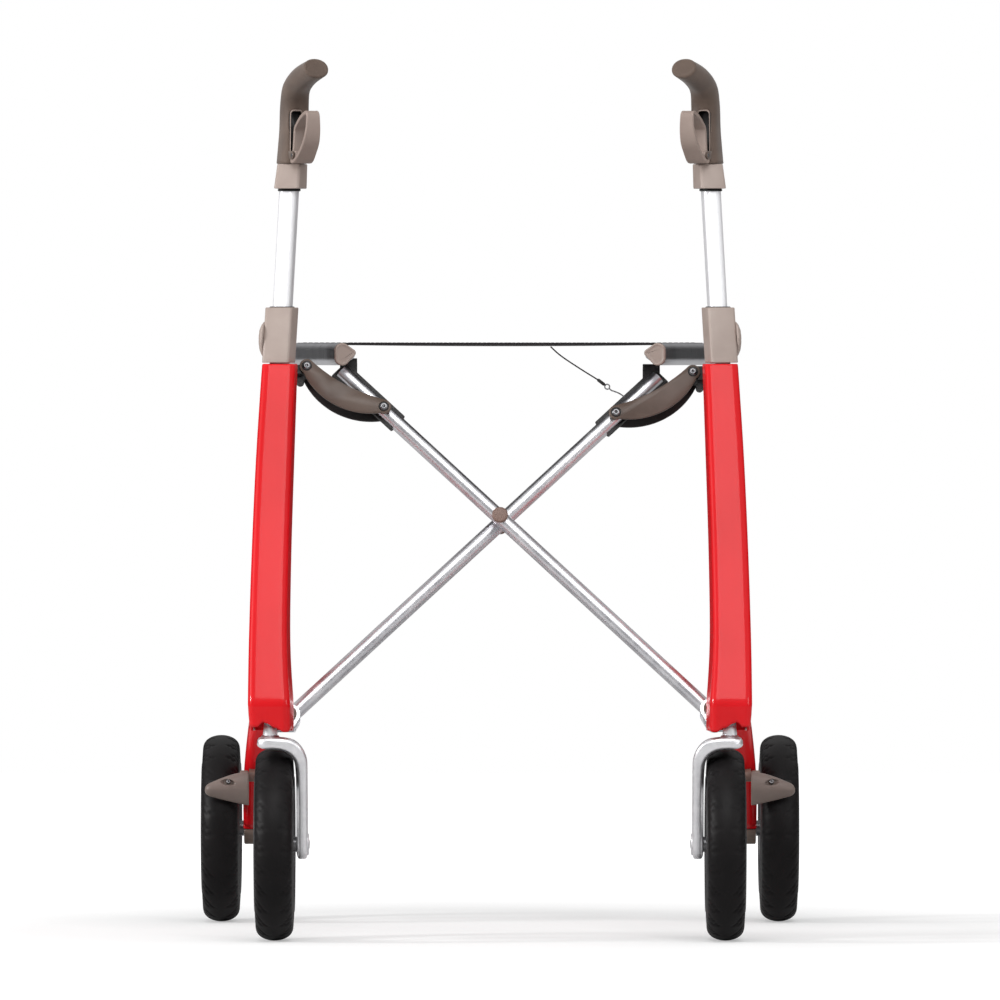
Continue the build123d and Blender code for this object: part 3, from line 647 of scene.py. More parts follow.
def sleeve(low, high, toe, corner, grow=0.35):
    """Square sleeve round the handle tube, grow clear of it. low and high are (x, z, width, depth)."""
    across, along = level_pair(toe)
    bore_across, bore_along = level_pair(TUBE_TOE)
    outer, inner = [], []
    edge = 0.9
    (x1, z1, w1, d1), (x2, z2, w2, d2) = low, high
    height = z2 - z1
    for up, inset in ((0.0, edge), (0.28 * edge, 0.28 * edge), (edge, 0.0), (height * 0.5, 0.0),
                      (height - edge, 0.0), (height - 0.28 * edge, 0.28 * edge), (height, edge)):
        t, z = up / height, z1 + up
        width, depth = w1 + (w2 - w1) * t - 2 * inset, d1 + (d2 - d1) * t - 2 * inset
        centre = Vector((x1 + (x2 - x1) * t, column_y(z), z))
        outer.append(rounded_ring(centre, across, along, width, depth, corner - inset * 0.6, 5, 3))
    width, depth, radius = [size + grow for size in TUBE]
    for z in (z2, z1 + height * 0.5, z1):
        centre = Vector((handle_x(z), column_y(z), z))
        inner.append(rounded_ring(centre, bore_across, bore_along, width + grow, depth + grow, radius, 5, 3))
    return loft(outer + inner, closed=True)


def knob_shape():
    """Round pull knob with a dished face and finger flutes."""
    out = -level_pair(TUBE_TOE)[0]
    side, other = HIGH, out.cross(HIGH)
    base = Vector((handle_x(KNOB_Z), column_y(KNOB_Z), KNOB_Z)) + out * 15.6
    profile = ((3.0, -8.0), (3.0, 0.0), (KNOB_R - 0.8, 0.0), (KNOB_R, 0.8), (KNOB_R - 0.3, 1.8),
               (KNOB_R - 2.6, 3.7), (KNOB_R - 5.2, 5.0), (KNOB_R - 7.2, 5.2), (KNOB_R - 9.0, 4.9),
               (KNOB_R - 12.0, 4.3), (0.0, 4.1))
    count = 72
    rings = []
    for radius, distance in profile:
        ring = []
        depth = 0.7 if 0.5 < distance < 5.7 and radius > 14 else 0.0
        for k, (c, s) in enumerate(circle(count)):
            reach = radius - depth * max(0.0, math.cos(2 * math.pi * k / count * FLUTES)) ** 2
            ring.append(base + out * distance + (side * c + other * s) * max(reach, 0.01))
        rings.append(ring)
    return loft(rings)


def build_sleeves(side):
    key, slot = "taupe_light", "taupe_plastic"
    add_piece("clamp", side, sleeve(*CLAMP, 12.0, 3.2), key, "frame", "height_clamp")
    add_piece("pull_knob", side, knob_shape(), key, "knob", "height_knob")
    add_piece("collar", side, sleeve(*COLLAR, 14.0, 3.4), key, "handle", "handle_collar")
    lining = sleeve((-228.5, 656.4, 23.6, 27.8), (-228.3, 659.0, 23.2, 27.4), TUBE_TOE, 6.0, 0.2)
    add_piece("clamp_lining", side, lining, "black", "frame")


# --- grip and brake lever ---

GRIP = (
    # x, y, z, climb of the grip in degrees, half width, half depth
    (-218.9, column_y(809.2), 809.15, 90.0, 14.7, 17.2), (-216.9, column_y(845.0), 845.0, 103.0, 14.5, 16.6),
    (-216.4, -36.0, 871.0, 86.0, 14.6, 15.2), (-214.0, -47.0, 889.0, 57.0, 14.4, 13.8),
    (-205.4, -69.0, 900.6, 31.0, 14.0, 12.4), (-193.2, -92.0, 908.3, 30.0, 13.6, 11.6),
)
GRIP_ACROSS, GRIP_BACK = level_pair(-20.0)
AHEAD = -GRIP_BACK
LEVER_SHIFT, LEVER_Z, LEVER_AHEAD = -2.0, 818.0, 25.0
LEVER_LOOP = (
    # forward, height, half width of the band
    (21.0, 820.0, 7.8), (22.0, 812.8, 10.4), (27.0, 811.2, 11.0), (35.0, 813.4, 10.8), (47.0, 821.6, 9.8),
    (57.0, 830.8, 9.2), (62.4, 841.0, 8.3), (64.2, 851.0, 7.6), (63.0, 860.2, 7.2), (57.0, 862.0, 7.0),
    (42.0, 857.4, 6.9), (28.0, 850.4, 6.4), (20.8, 845.0, 6.0), (20.2, 834.0, 6.5),
)
SLOT_LOW, SLOT_HIGH, SLOT_HALF, SLOT_DEPTH = 821.0, 865.4, 7.0, 5.2
LIP = 0.2


def grip_point(f, z, side_out=0.0):
    """Point in the lever's plane: forward, height, and out of the plane."""
    base = Vector((handle_x(LEVER_Z), column_y(LEVER_Z), z))
    return base + AHEAD * f - GRIP_ACROSS * (side_out + LEVER_SHIFT)


def lever_lathe(profile):
    """A part turned about the lever's pin."""
    start = grip_point(LEVER_AHEAD, LEVER_Z)
    return lathe(profile, start, grip_point(LEVER_AHEAD, LEVER_Z, 1.0) - start)


def grip_shape():
    """Grip that bends forwards over the lever and ends in a slightly sunken face."""
    across = GRIP_ACROSS
    rings = []
    for i, (x, y, z, climb, half_w, half_d) in enumerate(spline(GRIP, 6)):
        along = AHEAD * math.cos(math.radians(climb)) + HIGH * math.sin(math.radians(climb))
        square = along.cross(across)
        centre = Vector((x, y, z))
        power = 2.1 + 0.9 * min(max((892.0 - z) / 60.0, 0.0), 1.0)
        if i == 0:
            rings.append(oval_ring(centre, across, square, half_w - 1.0, half_d - 1.0, power, 40))
            centre += along * 0.8
        rings.append(oval_ring(centre, across, square, half_w, half_d, power, 40))
    for further, inset in ((1.2, 0.25), (1.9, 1.1), (2.2, 2.2), (1.9, 3.0), (1.9, 6.0)):
        place = centre + along * further
        rings.append(oval_ring(place, across, square, half_w - inset, half_d - inset, power, 40))
    return loft(rings)


def lever_shape():
    """Closed finger loop bent from a band, widest at its foot, with slightly raised edges."""
    path = spline(LEVER_LOOP, 5, closed=True)
    count = len(path)
    middle = Vector((sum(row[0] for row in path) / count, sum(row[1] for row in path) / count))
    edge = ((-1.0, -1.1), (-0.96, -1.9), (-0.82, -2.1), (-0.72, -1.7))
    inner = [*edge, (0.0, -1.6), *((-w, h) for w, h in reversed(edge))]
    edge = ((1.0, 1.1), (0.96, 1.9), (0.82, 2.1), (0.72, 1.9))
    outer = [*edge, (0.0, 2.0), (-0.72, 1.9), (-0.82, 2.1), (-0.96, 1.9), (-1.0, 1.1)]
    rings = []
    for i, (f, z, half) in enumerate(path):
        after, before = path[(i + 1) % count], path[i - 1]
        slope = Vector((after[0] - before[0], after[1] - before[1])).normalized()
        out = Vector((slope.y, -slope.x))
        if out.dot(Vector((f, z)) - middle) < 0:
            out.negate()
        rings.append([grip_point(f + out.x * h, z + out.y * h, w * half) for w, h in inner + outer])
    return merge(loft(rings, closed=True), lever_lathe(both_ways(((0.0, -8.0), (4.2, -8.0), (4.8, -7.5)))))


def grip_front(u, v):
    """How far forward the leaning grip's face stands, measured in the lever's plane."""
    middle = -0.34 * (v - LEVER_Z) if v < 843.0 else -8.5 - 0.03 * (v - 843.0)
    half = 17.0 - 0.03 * max(v - 830.0, 0.0)
    beside = min(abs(u + LEVER_SHIFT) / 14.6, 0.97)
    return middle + half * (1 - beside**2.8) ** (1 / 2.8)


def slot_lean(u, v):
    """Distance across the slot, shifted so that the slot follows the grip's lean."""
    return u - 0.2 * (16.5 - grip_front(-LEVER_SHIFT, v))


def slot_place(u, v, deep):
    """Point on the slot's outline, sunk below the grip's face."""
    u = slot_lean(u, v)
    return grip_point(grip_front(u, v) - deep, v, u)


def slot_rim(outline):
    """Thin raised lip round the lever's slot, following the front of the grip."""
    rings = []
    middle_v = sum(v for _, v in outline) / len(outline)
    for u, v in outline:
        away = Vector((u, v - middle_v)).normalized()
        place = slot_place(u, v, LIP)
        across = (slot_place(u + away.x, v + away.y, LIP) - place).normalized()
        rings.append(oval_ring(place, across, AHEAD, 0.9, 1.6, 2.0, 10))
    return loft(rings, closed=True)


def painted_shade_slot_liner(outline):
    """Black floor of the slot, just above the depth it is cut to: painted shade for the dark inside of the
    slot.
    """
    depths = (SLOT_DEPTH + 0.6, SLOT_DEPTH - 0.8)
    return loft([[slot_place(u * 0.97, v - 0.3, depth) for u, v in outline] for depth in depths])


def build_grip(side):
    horn = add_piece("grip_horn", side, grip_shape(), "grip", "", "grip")
    head, foot = SLOT_HALF - 4.0, SLOT_HALF - 0.5
    corners = ((head, SLOT_HIGH - 4.0, 4.0), (-head, SLOT_HIGH - 4.0, 4.0), (foot, SLOT_LOW, 2.0),
               (-foot, SLOT_LOW, 2.0))
    outline = hull_outline(corners, 40)
    sunk = [slot_place(u, v, SLOT_DEPTH) for u, v in outline]
    mouth = [grip_point(60.0, v, slot_lean(u, v)) for u, v in outline]
    carve(horn, side, loft([sunk, mouth]))
    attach(horn, f"{side[0]}_handle")
    # black liner in the slot: painted shade
    add_piece("painted_shade_slot_liner", side, painted_shade_slot_liner(outline), "black", "handle")
    add_piece("slot_rim", side, slot_rim(outline), "taupe", "handle", bevel=0.2)
    add_piece("finger_lever", side, lever_shape(), "taupe", "lever", "brake_lever", levels=1)


def build_lever_mount(side):
    """Two ears of the grip with the lever's pin between them, and the seal under the collar."""
    ear = hull_outline(((LEVER_AHEAD, LEVER_Z, 4.4), (15.0, LEVER_Z, 4.4)), 32)
    ears = [round_plate(ear, grip_point, low, low + 1.7, 0.5) for low in (8.4, -10.1)]
    add_piece("lever_ears", side, merge(*ears), "grip", "handle")
    pin = lever_lathe(both_ways(((0.0, -10.5), (1.7, -10.5), (2.1, -10.2))))
    add_piece("lever_pin", side, pin, "steel", "handle", "handle_hardware")
    wide, deep = TUBE[0] + 3.2, TUBE[1] + 3.2
    low, high = COLLAR[0][1] - 2.8, COLLAR[0][1] - 0.1
    ends = (handle_x(low), low, wide, deep), (handle_x(high), high, wide, deep)
    seal = sleeve(*ends, TUBE_TOE, TUBE[2] + 1.6, 0.1)
    add_piece("collar_seal", side, seal, "black", "handle")


# --- castor fork ---

FORK_PATH = (
    # x, y, z, turn of the section from level to upright, thickness, depth
    (-251.4, -263.0, 207.0, 0.0, 5.0, 15.0), (-249.0, -263.0, 206.8, 0.0, 9.4, 24.0),
    (-243.0, -263.0, 206.4, 0.0, 12.4, 30.0), (-234.0, -263.0, 206.2, 2.0, 12.6, 32.0),
    (-225.0, -263.0, 205.4, 12.0, 13.4, 32.0), (-215.6, -262.0, 202.0, 34.0, 14.6, 31.0),
    (-208.8, -258.5, 194.0, 62.0, 13.6, 30.0), (-205.9, -253.0, 181.0, 84.0, 12.4, 29.0),
    (-205.4, -243.0, 150.0, 90.0, 11.7, 28.0), (-205.4, -233.0, 122.0, 90.0, 11.7, 28.0),
    (-205.4, -225.5, 100.0, 90.0, 11.7, 28.0), (-205.4, -223.0, 92.0, 90.0, 11.2, 24.0),
    (-205.4, -221.2, 86.8, 90.0, 9.0, 13.0),
)


def fork_shape():
    """One-sided fork with its crown, the ring round the stem, a rib and the axle's bosses."""
    rows = spline(FORK_PATH, 4)
    rings = []
    for i, (x, y, z, turn, thick, depth) in enumerate(rows):
        before, after = Vector(rows[max(i - 1, 0)][:3]), Vector(rows[min(i + 1, len(rows) - 1)][:3])
        tangent = (after - before).normalized()
        normal = Vector((math.sin(math.radians(turn)), 0, math.cos(math.radians(turn))))
        across = tangent.cross(normal).normalized()
        normal = across.cross(tangent).normalized()
        rings.append(rounded_ring(Vector((x, y, z)), across, normal, depth, thick, min(4.4, thick * 0.42)))
    ribs = []
    for k in range(9):
        share = k / 8
        x = -226.0 + 15.5 * math.sin(math.pi / 2 * share) - 8.0 * (1 - share)
        centre = Vector((x, STEM.y - 2.0 * share, 212.0 - 6.0 * share - 5.0 * share * share))
        upward = Vector((0.35 * share, 0, 1)).normalized()
        ribs.append(rounded_ring(centre, BACK, upward, 5.0 - 1.6 * share, 4.6 - 2.6 * share, 0.9, 4, 1))
    crown = [(13.0, 209.0), (12.2, 211.6), (9.4, 213.0), (9.0, 214.2), (4.7, 214.3), (4.7, 200.8)]
    outer = lathe([(11.4, 0.0), (11.4, 0.9), (10.2, 1.5), (6.4, 1.5), (6.2, 0.4)],
                  (-199.9, FRONT_WHEEL.y, WHEEL_R), RIGHT)
    inner = lathe([(11.4, 0.0), (10.8, 1.4), (8.2, 1.4)], (-209.4, FRONT_WHEEL.y, WHEEL_R), -RIGHT)
    return merge(loft(rings), stem_lathe(crown, 48), loft(ribs), outer, inner)


def stem_lathe(profile, count):
    """A part turned about the castor stem, with its real heights."""
    return lathe(profile, (STEM.x, STEM.y, 0), HIGH, count)


def build_fork(side):
    add_piece("castor_fork", side, fork_shape(), "cast", "castor", "fork")
    stem = merge(
        stem_lathe([(STEM_R, 200.6), (STEM_R, 259.0)], 32),
        stem_lathe([(7.4, 214.3), (7.6, 215.0), (7.0, 221.0), (6.4, 227.6)], 40),
        stem_lathe([(7.0, 253.4), (8.0, 254.2), (8.0, 257.2), (7.0, 258.0)], 6),
    )
    add_piece("castor_stem", side, stem, "cast", "castor", "fork_stem")
    screw = button_head((-199.4, FRONT_WHEEL.y, WHEEL_R), RIGHT, 5.6, 1.6)
    add_piece("axle_screw", side, screw, "steel", "castor")


# --- wheels ---

TREAD_STEPS, SIPES, SIPE_SLANT, SIPE_DEPTH = 4, 80, 14.0, 1.4


def tyre_shape(centre):
    """Tyre with a full, rounded tread and slanted sipes cut into both shoulders."""
    wall = ((RIM_R, -17.4), (RIM_R + 1.0, -18.9), (RIM_R + 3.4, -TYRE_HALF), (RIM_R + 8.0, -TYRE_HALF),
            (80.0, 0.1 - TYRE_HALF), (84.5, 0.4 - TYRE_HALF))
    crown = []
    for k in range(1, 22):
        angle = math.pi * k / 22
        crown.append((84.8 + 15.2 * math.sin(angle) ** 0.82, (0.4 - TYRE_HALF) * math.cos(angle)))
    rings = []
    for k, (c, s) in enumerate(circle(SIPES * TREAD_STEPS)):
        ring = []
        for radius, offset in both_ways(wall, *crown):
            edge = abs(offset) / TYRE_HALF
            step = k + round(SIPE_SLANT * edge)
            row = step // TREAD_STEPS % 3
            banded = (0.36 if row == 0 else 0.62) < edge < 0.94 and radius > 86.0
            if banded and step % TREAD_STEPS == 0 and row < 2:
                radius -= SIPE_DEPTH
            ring.append(centre + Vector((offset, radius * c, radius * s)))
        rings.append(ring)
    return loft(rings, closed=True)


def wheel_shape(centre):
    """Rim with lips, hub barrel and six crowned spokes."""
    lip = ((-0.1, -16.6), (0.6, -18.6), (0.4, -20.4), (-1.2, -20.9), (-2.8, -20.2), (-3.6, -18.0),
           (-4.2, -13.0), (-4.8, -6.0))
    rim = lathe(both_ways([(RIM_R + r, d) for r, d in lip], (RIM_R - 5.0, 0.0)), centre, RIGHT, 96, True)
    end = ((BORE_R, -14.8), (BORE_R + 0.6, -15.8), (HUB_R - 1.4, -16.0), (HUB_R, -15.0), (HUB_R + 1.4, -8.0))
    barrel = lathe(both_ways(end, (HUB_R + 1.6, 0.0)), centre, RIGHT, 64, True)
    spokes = []
    for c, s in circle(6):
        out, across = Vector((0, c, s)), Vector((0, -s, c))
        rings = []
        for k in range(11):
            share = k / 10
            reach = HUB_R - 1.0 + (RIM_R - 3.6 - HUB_R) * share
            width = 9.0 - 2.4 * math.sin(math.pi * share) + 4.0 * share**6 + 1.5 * (1 - share) ** 6
            thick = 17.0 - 4.0 * share + 6.0 * share**5
            rings.append(rounded_ring(centre + out * reach, across, RIGHT, width, thick, 2.6, 4, 1))
        spokes.append(loft(rings))
    return merge(rim, barrel, *spokes)


def build_wheels(side):
    for end, centre in (("front", FRONT_WHEEL), ("rear", REAR_WHEEL)):
        body = f"{end}_wheel"
        add_piece(f"{end}_soft_tyre", side, tyre_shape(centre), "tyre", body, f"{end}_tyre")
        add_piece(f"{body}_body", side, wheel_shape(centre), "wheel", body, f"{body}_hub")


# --- rear brake ---

ARM_PIVOT = (132.0, 159.5)
ARM_STATIONS = (
    # x, y, z, half depth, half height
    (-268.2, 124.0, 146.0, 9.5, 18.0), (-276.0, 123.9, 146.3, 9.4, 16.8), (-285.0, 123.7, 146.3, 9.1, 14.8),
    (-295.0, 123.4, 145.8, 8.4, 12.0), (-304.0, 123.1, 145.2, 7.5, 9.0), (-310.0, 122.9, 144.8, 6.3, 6.8),
    (-313.2, 122.8, 144.6, 4.2, 4.4), (-314.4, 122.8, 144.5, 1.6, 1.7),
)
PAD_ANGLE, PAD_REACH = math.radians(27.4), 104.2


def brake_arm_ring(x, y, z, half_y, half_z):
    """Section of the brake arm: round above, keeled below."""
    return oval_ring(Vector((x, y, z)), BACK, HIGH, half_y, half_z, 2.1, 40, 1.35)


def brake_pad_shape():
    along = Vector((0, -math.cos(PAD_ANGLE), math.sin(PAD_ANGLE)))
    tangent = Vector((0, math.sin(PAD_ANGLE), math.cos(PAD_ANGLE)))
    middle = REAR_WHEEL + along * PAD_REACH + RIGHT
    rings = []
    for d, inset in ((-2.0, 0.8), (-1.4, 0.1), (1.9, 0.0)):
        rings.append(rounded_ring(middle + along * d, RIGHT, tangent, 26 - 2 * inset, 13 - 2 * inset, 2.0, 4))
    return loft(rings)


def build_brake(side):
    rings = [brake_arm_ring(-267.7, 124.0, 146.0, 8.7, 17.2)]
    rings += [brake_arm_ring(*row) for row in spline(ARM_STATIONS, 4)]
    # brake arm in the darkened taupe: painted shade
    arm = add_piece("brake_horn", side, loft(rings), "taupe_arm_painted_shade", "", "brake_arm")
    pocket = []
    for k in range(9):
        c, s = math.cos(math.pi * k / 8), math.sin(math.pi * k / 8)
        centre = Vector((-290.5 + 8.6 * c, 114.6, 153.2 - 1.2 * c))
        pocket.append(oval_ring(centre, BACK, HIGH, 5.4 * s + 0.05, 3.6 * s + 0.05, 2.0, 20))
    carve(arm, side, loft(pocket))
    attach(arm, f"{side[0]}_brake")
    lug = hull_outline(((127.0, 150.0, 9.0), (*ARM_PIVOT, 5.6)), 40)
    lug = round_plate(lug, upright, -277.4, -268.1, 1.2)
    add_piece("brake_lug", side, lug, "taupe_dark", "brake")
    anchor = [(2.5, 0.0), (2.5, 2.4), (1.9, 2.9), (1.2, 2.9), (1.1, 1.0)]
    anchor = lathe(anchor, (-289.6, 118.4, 153.0), (0.1, -0.85, 0.35), 6)
    add_piece("cable_anchor", side, anchor, "steel", "brake")
    add_piece("brake_pad", side, brake_pad_shape(), "black", "brake")


# --- links, screws and hub cap ---


def link_outline(grow=0.0):
    """Curved link plate: a shallow upper edge and a full belly between its two eyes."""
    start, end = Vector(LINK_PIVOT), Vector(LINK_END)
    radius, belly = BOSS_R + grow, 23.0 + grow
    along = (end - start).normalized()
    up = Vector((-along.y, along.x))
    middle = (start + end) / 2
    above, below = (start + up * radius, end + up * radius), (start - up * radius, end - up * radius)
    return (
        arc_through(above[0], middle - up + Vector((0, 3.0)), above[1], 18)
        + arc_through(above[1], end + along * radius, below[1], 12)
        + arc_through(below[1], middle - up * belly, below[0], 26)
        + arc_through(below[0], start - along * radius, above[0], 12)
    )


def build_link(side, brace_side):
    n = brace_side * BRACE_N
    front, back = n + LINK_GAP + LINK_T, n - LINK_GAP - LINK_T
    plate = round_plate(link_outline(), cross, front - LINK_T, front, 0.7)
    add_piece("link_front_plate", side, plate, "bronze", "link_arm", "link")
    plate = round_plate(link_outline(0.2), cross, back, back + LINK_T, 0.7)
    add_piece("link_back_plate", side, plate, "black", "link_arm")
    washers, screws = [], []
    for u, v in (LINK_PIVOT, LINK_END):
        washers.append(lathe([(5.4, -0.2), (5.4, 0.35), (4.9, 0.6), (3.0, 0.6)], cross(u, v, front), OUT, 32))
        screws.append(button_head(cross(u, v, front + 0.4), OUT, 4.2, 1.6))
        screws.append(button_head(cross(u, v, back), -OUT, 4.2, 1.9))
    screws.append(lathe([(3.0, back), (3.0, front)], cross(*LINK_PIVOT, 0), OUT, 24))
    add_piece("link_washers", side, merge(*washers), "black", "link_arm")
    add_piece("link_screws", side, merge(*screws), "steel", "link_arm")


def build_hub_cap():
    cap = [(4.0, 10.0), (8.0, 16.8), (8.4, 17.6), (8.4, 19.4), (7.9, 20.3), (6.6, 20.55), (0.0, 20.6)]
    caps = [lathe(cap, HUB, OUT * way, 48) for way in (1, -1)]
    bolt = lathe([(4.0, -17.0), (4.0, 17.0)], HUB, OUT, 24)
    add_piece("cross_bolt", CENTRE, merge(*caps, bolt), "umber", "brace_a", "hub_bolt")


# --- rails and seat ---

RAIL_FRONT = Vector((-161.5, -112.0, 609.0))
RAIL_LENGTH = 255.0
RAIL_TOE = math.radians(14.5)
RAIL_BACK = Vector((-math.sin(RAIL_TOE), math.cos(RAIL_TOE), 0))
RAIL_ACROSS = Vector((math.cos(RAIL_TOE), math.sin(RAIL_TOE), 0))
RAIL_CIRCLES = ((-3.4, 4.0, 7.6), (-3.4, -4.0, 7.6), (7.4, 1.4, 3.6))


def rail_ring(distance, grow):
    outline = hull_outline([(u, v, r + grow) for u, v, r in RAIL_CIRCLES], 56)
    return [RAIL_FRONT + RAIL_BACK * distance + RAIL_ACROSS * u + HIGH * v for u, v in outline]


def rail_cap_shape(end, way):
    """End cap with a thin raised rim round a slightly sunken face."""
    steps = ((6.0, -0.2), (5.4, 0.2), (1.3, 0.2), (0.4, -0.2), (0.02, -0.9), (0.1, -1.7), (0.55, -2.1),
             (0.55, -4.0))
    return loft([rail_ring(end + way * d, grow) for d, grow in steps])


def build_rails():
    for side, brace in ((SIDES[0], "brace_b"), (SIDES[1], "brace_a")):
        caps = merge(rail_cap_shape(0.0, 1), rail_cap_shape(RAIL_LENGTH, -1))
        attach(add_piece("rail_end_caps", side, caps, "taupe_cap", "", "rail_caps"), brace)


SEAT_COLUMNS, SEAT_ROWS, SEAT_LIFT = 96, 56, 0.35
# shares of the seat's depth and width
HEM, STITCHES, STITCH = 0.075, 70, 0.0085
STITCH_LIFT = 1.18


def rail_edge(y):
    """X where the cloth meets the left rail's crown at depth y."""
    t = (y - RAIL_FRONT.y) / RAIL_BACK.y
    return RAIL_FRONT.x + RAIL_BACK.x * t + 2.2


def seat_height(u, v):
    """Height of the cloth's middle layer: level at the hems, a little slack between them."""
    inner_u, inner_v = min(max(u, 0.0), 1.0), min(max(v, 0.0), 1.0)
    slack = 1.7 * abs(math.sin(math.pi * inner_v)) ** 1.5 * abs(math.sin(math.pi * inner_u)) ** 0.7
    ripple = 0.16 * math.sin(17.0 * v + 3.0 * u) * math.sin(math.pi * u)
    return (SEAT_TOP + SEAT_BOTTOM) / 2 + SEAT_LIFT - slack + ripple * math.sin(math.pi * v)


def seat_point(u, v, lift=0.0):
    y = SEAT_FRONT + (SEAT_BACK - SEAT_FRONT) * v
    return Vector((rail_edge(y) * (1 - 2 * u), y, seat_height(u, v) + lift))


def blended(piece):
    """Piece with its placement baked into its mesh."""
    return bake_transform(piece)


def strip(u_range, v_range, columns, rows, half):
    """Closed thin slab that follows the cloth, half as thick each way."""
    top, bottom = [], []
    for j in range(rows + 1):
        v = v_range[0] + (v_range[1] - v_range[0]) * j / rows
        for i in range(columns + 1):
            u = u_range[0] + (u_range[1] - u_range[0]) * i / columns
            top.append(seat_point(u, v, half))
            bottom.append(seat_point(u, v, -half))
    faces = []
    width, base = columns + 1, len(top)
    for j in range(rows):
        for a in range(j * width, j * width + columns):
            faces.append((a, a + 1, a + 1 + width, a + width))
            faces.append((base + a, base + a + width, base + a + 1 + width, base + a + 1))
    border = list(range(width)) + [j * width + columns for j in range(1, rows + 1)]
    border += [rows * width + i for i in range(columns - 1, -1, -1)]
    border += [j * width for j in range(rows - 1, 0, -1)]
    for a, b in zip(border, border[1:] + border[:1]):
        faces.append((a, base + a, base + b, b))
    return top + bottom, faces


def stitch_shape(u, v):
    """One short thread lying across the cloth, with its ends pulled in."""
    start, end = seat_point(u, v, STITCH_LIFT), seat_point(u + STITCH, v, STITCH_LIFT)
    across = (end - start).cross(HIGH).normalized()
    rings = []
    for t, radius, drop in ((0.0, 0.12, 0.25), (0.12, 0.34, 0.0), (0.88, 0.34, 0.0), (1.0, 0.12, 0.25)):
        rings.append(oval_ring(start.lerp(end, t) - HIGH * drop, across, HIGH, radius, radius, 2.0, 6))
    return loft(rings)


def build_seat():
    cloth = strip((0, 1), (0, 1), SEAT_COLUMNS, SEAT_ROWS, 0.75)
    cloth = add_piece("seat_cloth", CENTRE, cloth, "cloth", "", "seat")
    hems = [strip((0.012, 0.988), ends, SEAT_COLUMNS, 4, 1.2) for ends in ((-0.0005, HEM), (1 - HEM, 1.0005))]
    hem = add_piece("seat_hems", CENTRE, merge(*hems), "cloth", "", bevel=0.3)
    stitches = []
    for v in (HEM - 0.012, 1 - HEM + 0.012, HEM - 0.03, 1 - HEM + 0.03):
        stitches += [stitch_shape(0.02 + 0.96 * k / STITCHES, v) for k in range(STITCHES)]
    thread = add_piece("seat_stitching", CENTRE, merge(*stitches), "thread", "")
    for piece in (hem, thread, cloth):
        blended(piece)


# --- safety lanyard ---

LANYARD = ((53.0, -100.0, 617.0), (64.0, -99.6, 607.2), (84.0, -98.2, 593.8), (103.0, -97.0, 582.0))
LANYARD_DIAMETER = 1.5
FERRULE = ((102.0, -97.1, 582.6), (103.0, -97.0, 582.0), (109.0, -96.5, 577.4), (109.8, -96.4, 576.8))
RING = (112.4, -96.2, 574.9)
HOOK = ((114.6, -96.0, 573.0), (117.0, -95.4, 571.0), (121.0, -94.6, 569.6), (126.0, -93.4, 567.4),
        (131.0, -92.2, 563.8))


def tube_along(path, radii, count=12):
    rings = []
    for i, (here, radius) in enumerate(zip(path, radii)):
        way = (path[min(i + 1, len(path) - 1)] - path[max(i - 1, 0)]).normalized()
        across = way.cross(BACK).normalized()
        rings.append(oval_ring(here, across, across.cross(way), radius, radius, 2.0, count))
    return loft(rings)


def build_lanyard():
    path = [Vector(row) for row in spline(LANYARD, 6)]
    elastic = tube_along(path, [LANYARD_DIAMETER / 2] * len(path))
    elastic = add_piece("lanyard_elastic", CENTRE, elastic, "black", "", "lanyard")
    ferrule = tube_along([Vector(row) for row in FERRULE], [0.9, 1.7, 1.7, 1.1], 16)
    ferrule = add_piece("lanyard_ferrule", CENTRE, ferrule, "black", "")
    hook = [Vector(row) for row in spline(HOOK, 4)]
    ring = lathe([(2.6 + 0.7 * c, 0.7 * s) for c, s in circle(10)], RING, (0.25, 1, 0.1), 28, True)
    metal = merge(ring, tube_along(hook, [0.7] * len(hook)))
    metal = add_piece("lanyard_hook", CENTRE, metal, "steel", "")
    for piece in (elastic, ferrule, metal):
        blended(piece)


# --- carried-over CAD nodes ---


def paint(node, key):
    """Give a CAD node that keeps its shape one of the materials."""
    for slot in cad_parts[node].material_slots:
        slot.material = MATERIAL[key]


def finish_cad_nodes():
    paired = {"rear_axle": "steel", "front_axle": "steel", "castor_bearings": "steel", "brace_lug": "cast",
              "brake_cable": "black", "link_bracket": "black", "rail_saddle": "black",
              "frame_hardware": "umber", "handle_tube": "handle", "seat_rail": "tube"}
    for node, key in paired.items():
        for side, _ in SIDES:
            paint(f"{side}_{node}", key)
    for node in ("brace_a_tube", "brace_b_tube"):
        paint(node, "brace")


# --- build ---

for side in SIDES:
    build_side_frame(side)
    build_sleeves(side)
    build_grip(side)
    build_lever_mount(side)
    build_fork(side)
    build_wheels(side)
    build_brake(side)
build_link(SIDES[0], 1)
build_link(SIDES[1], -1)
build_hub_cap()
build_rails()
build_seat()
build_lanyard()
finish_cad_nodes()


# --- floor, light and camera ---

FLOOR_REACH, FLOOR_LIFT = 5.0, 0.36
WORLD_STRENGTH = 0.7
# how bright the studio is at each height
SKY = ((0.0, 0.02), (0.12, 0.05), (0.26, 0.16), (0.45, 0.85), (0.8, 1.0))
CAMERA_PLACE = (0.0, -13.66, 0.6188)
CAMERA_PITCH = math.radians(0.687)
LENS = 465.7


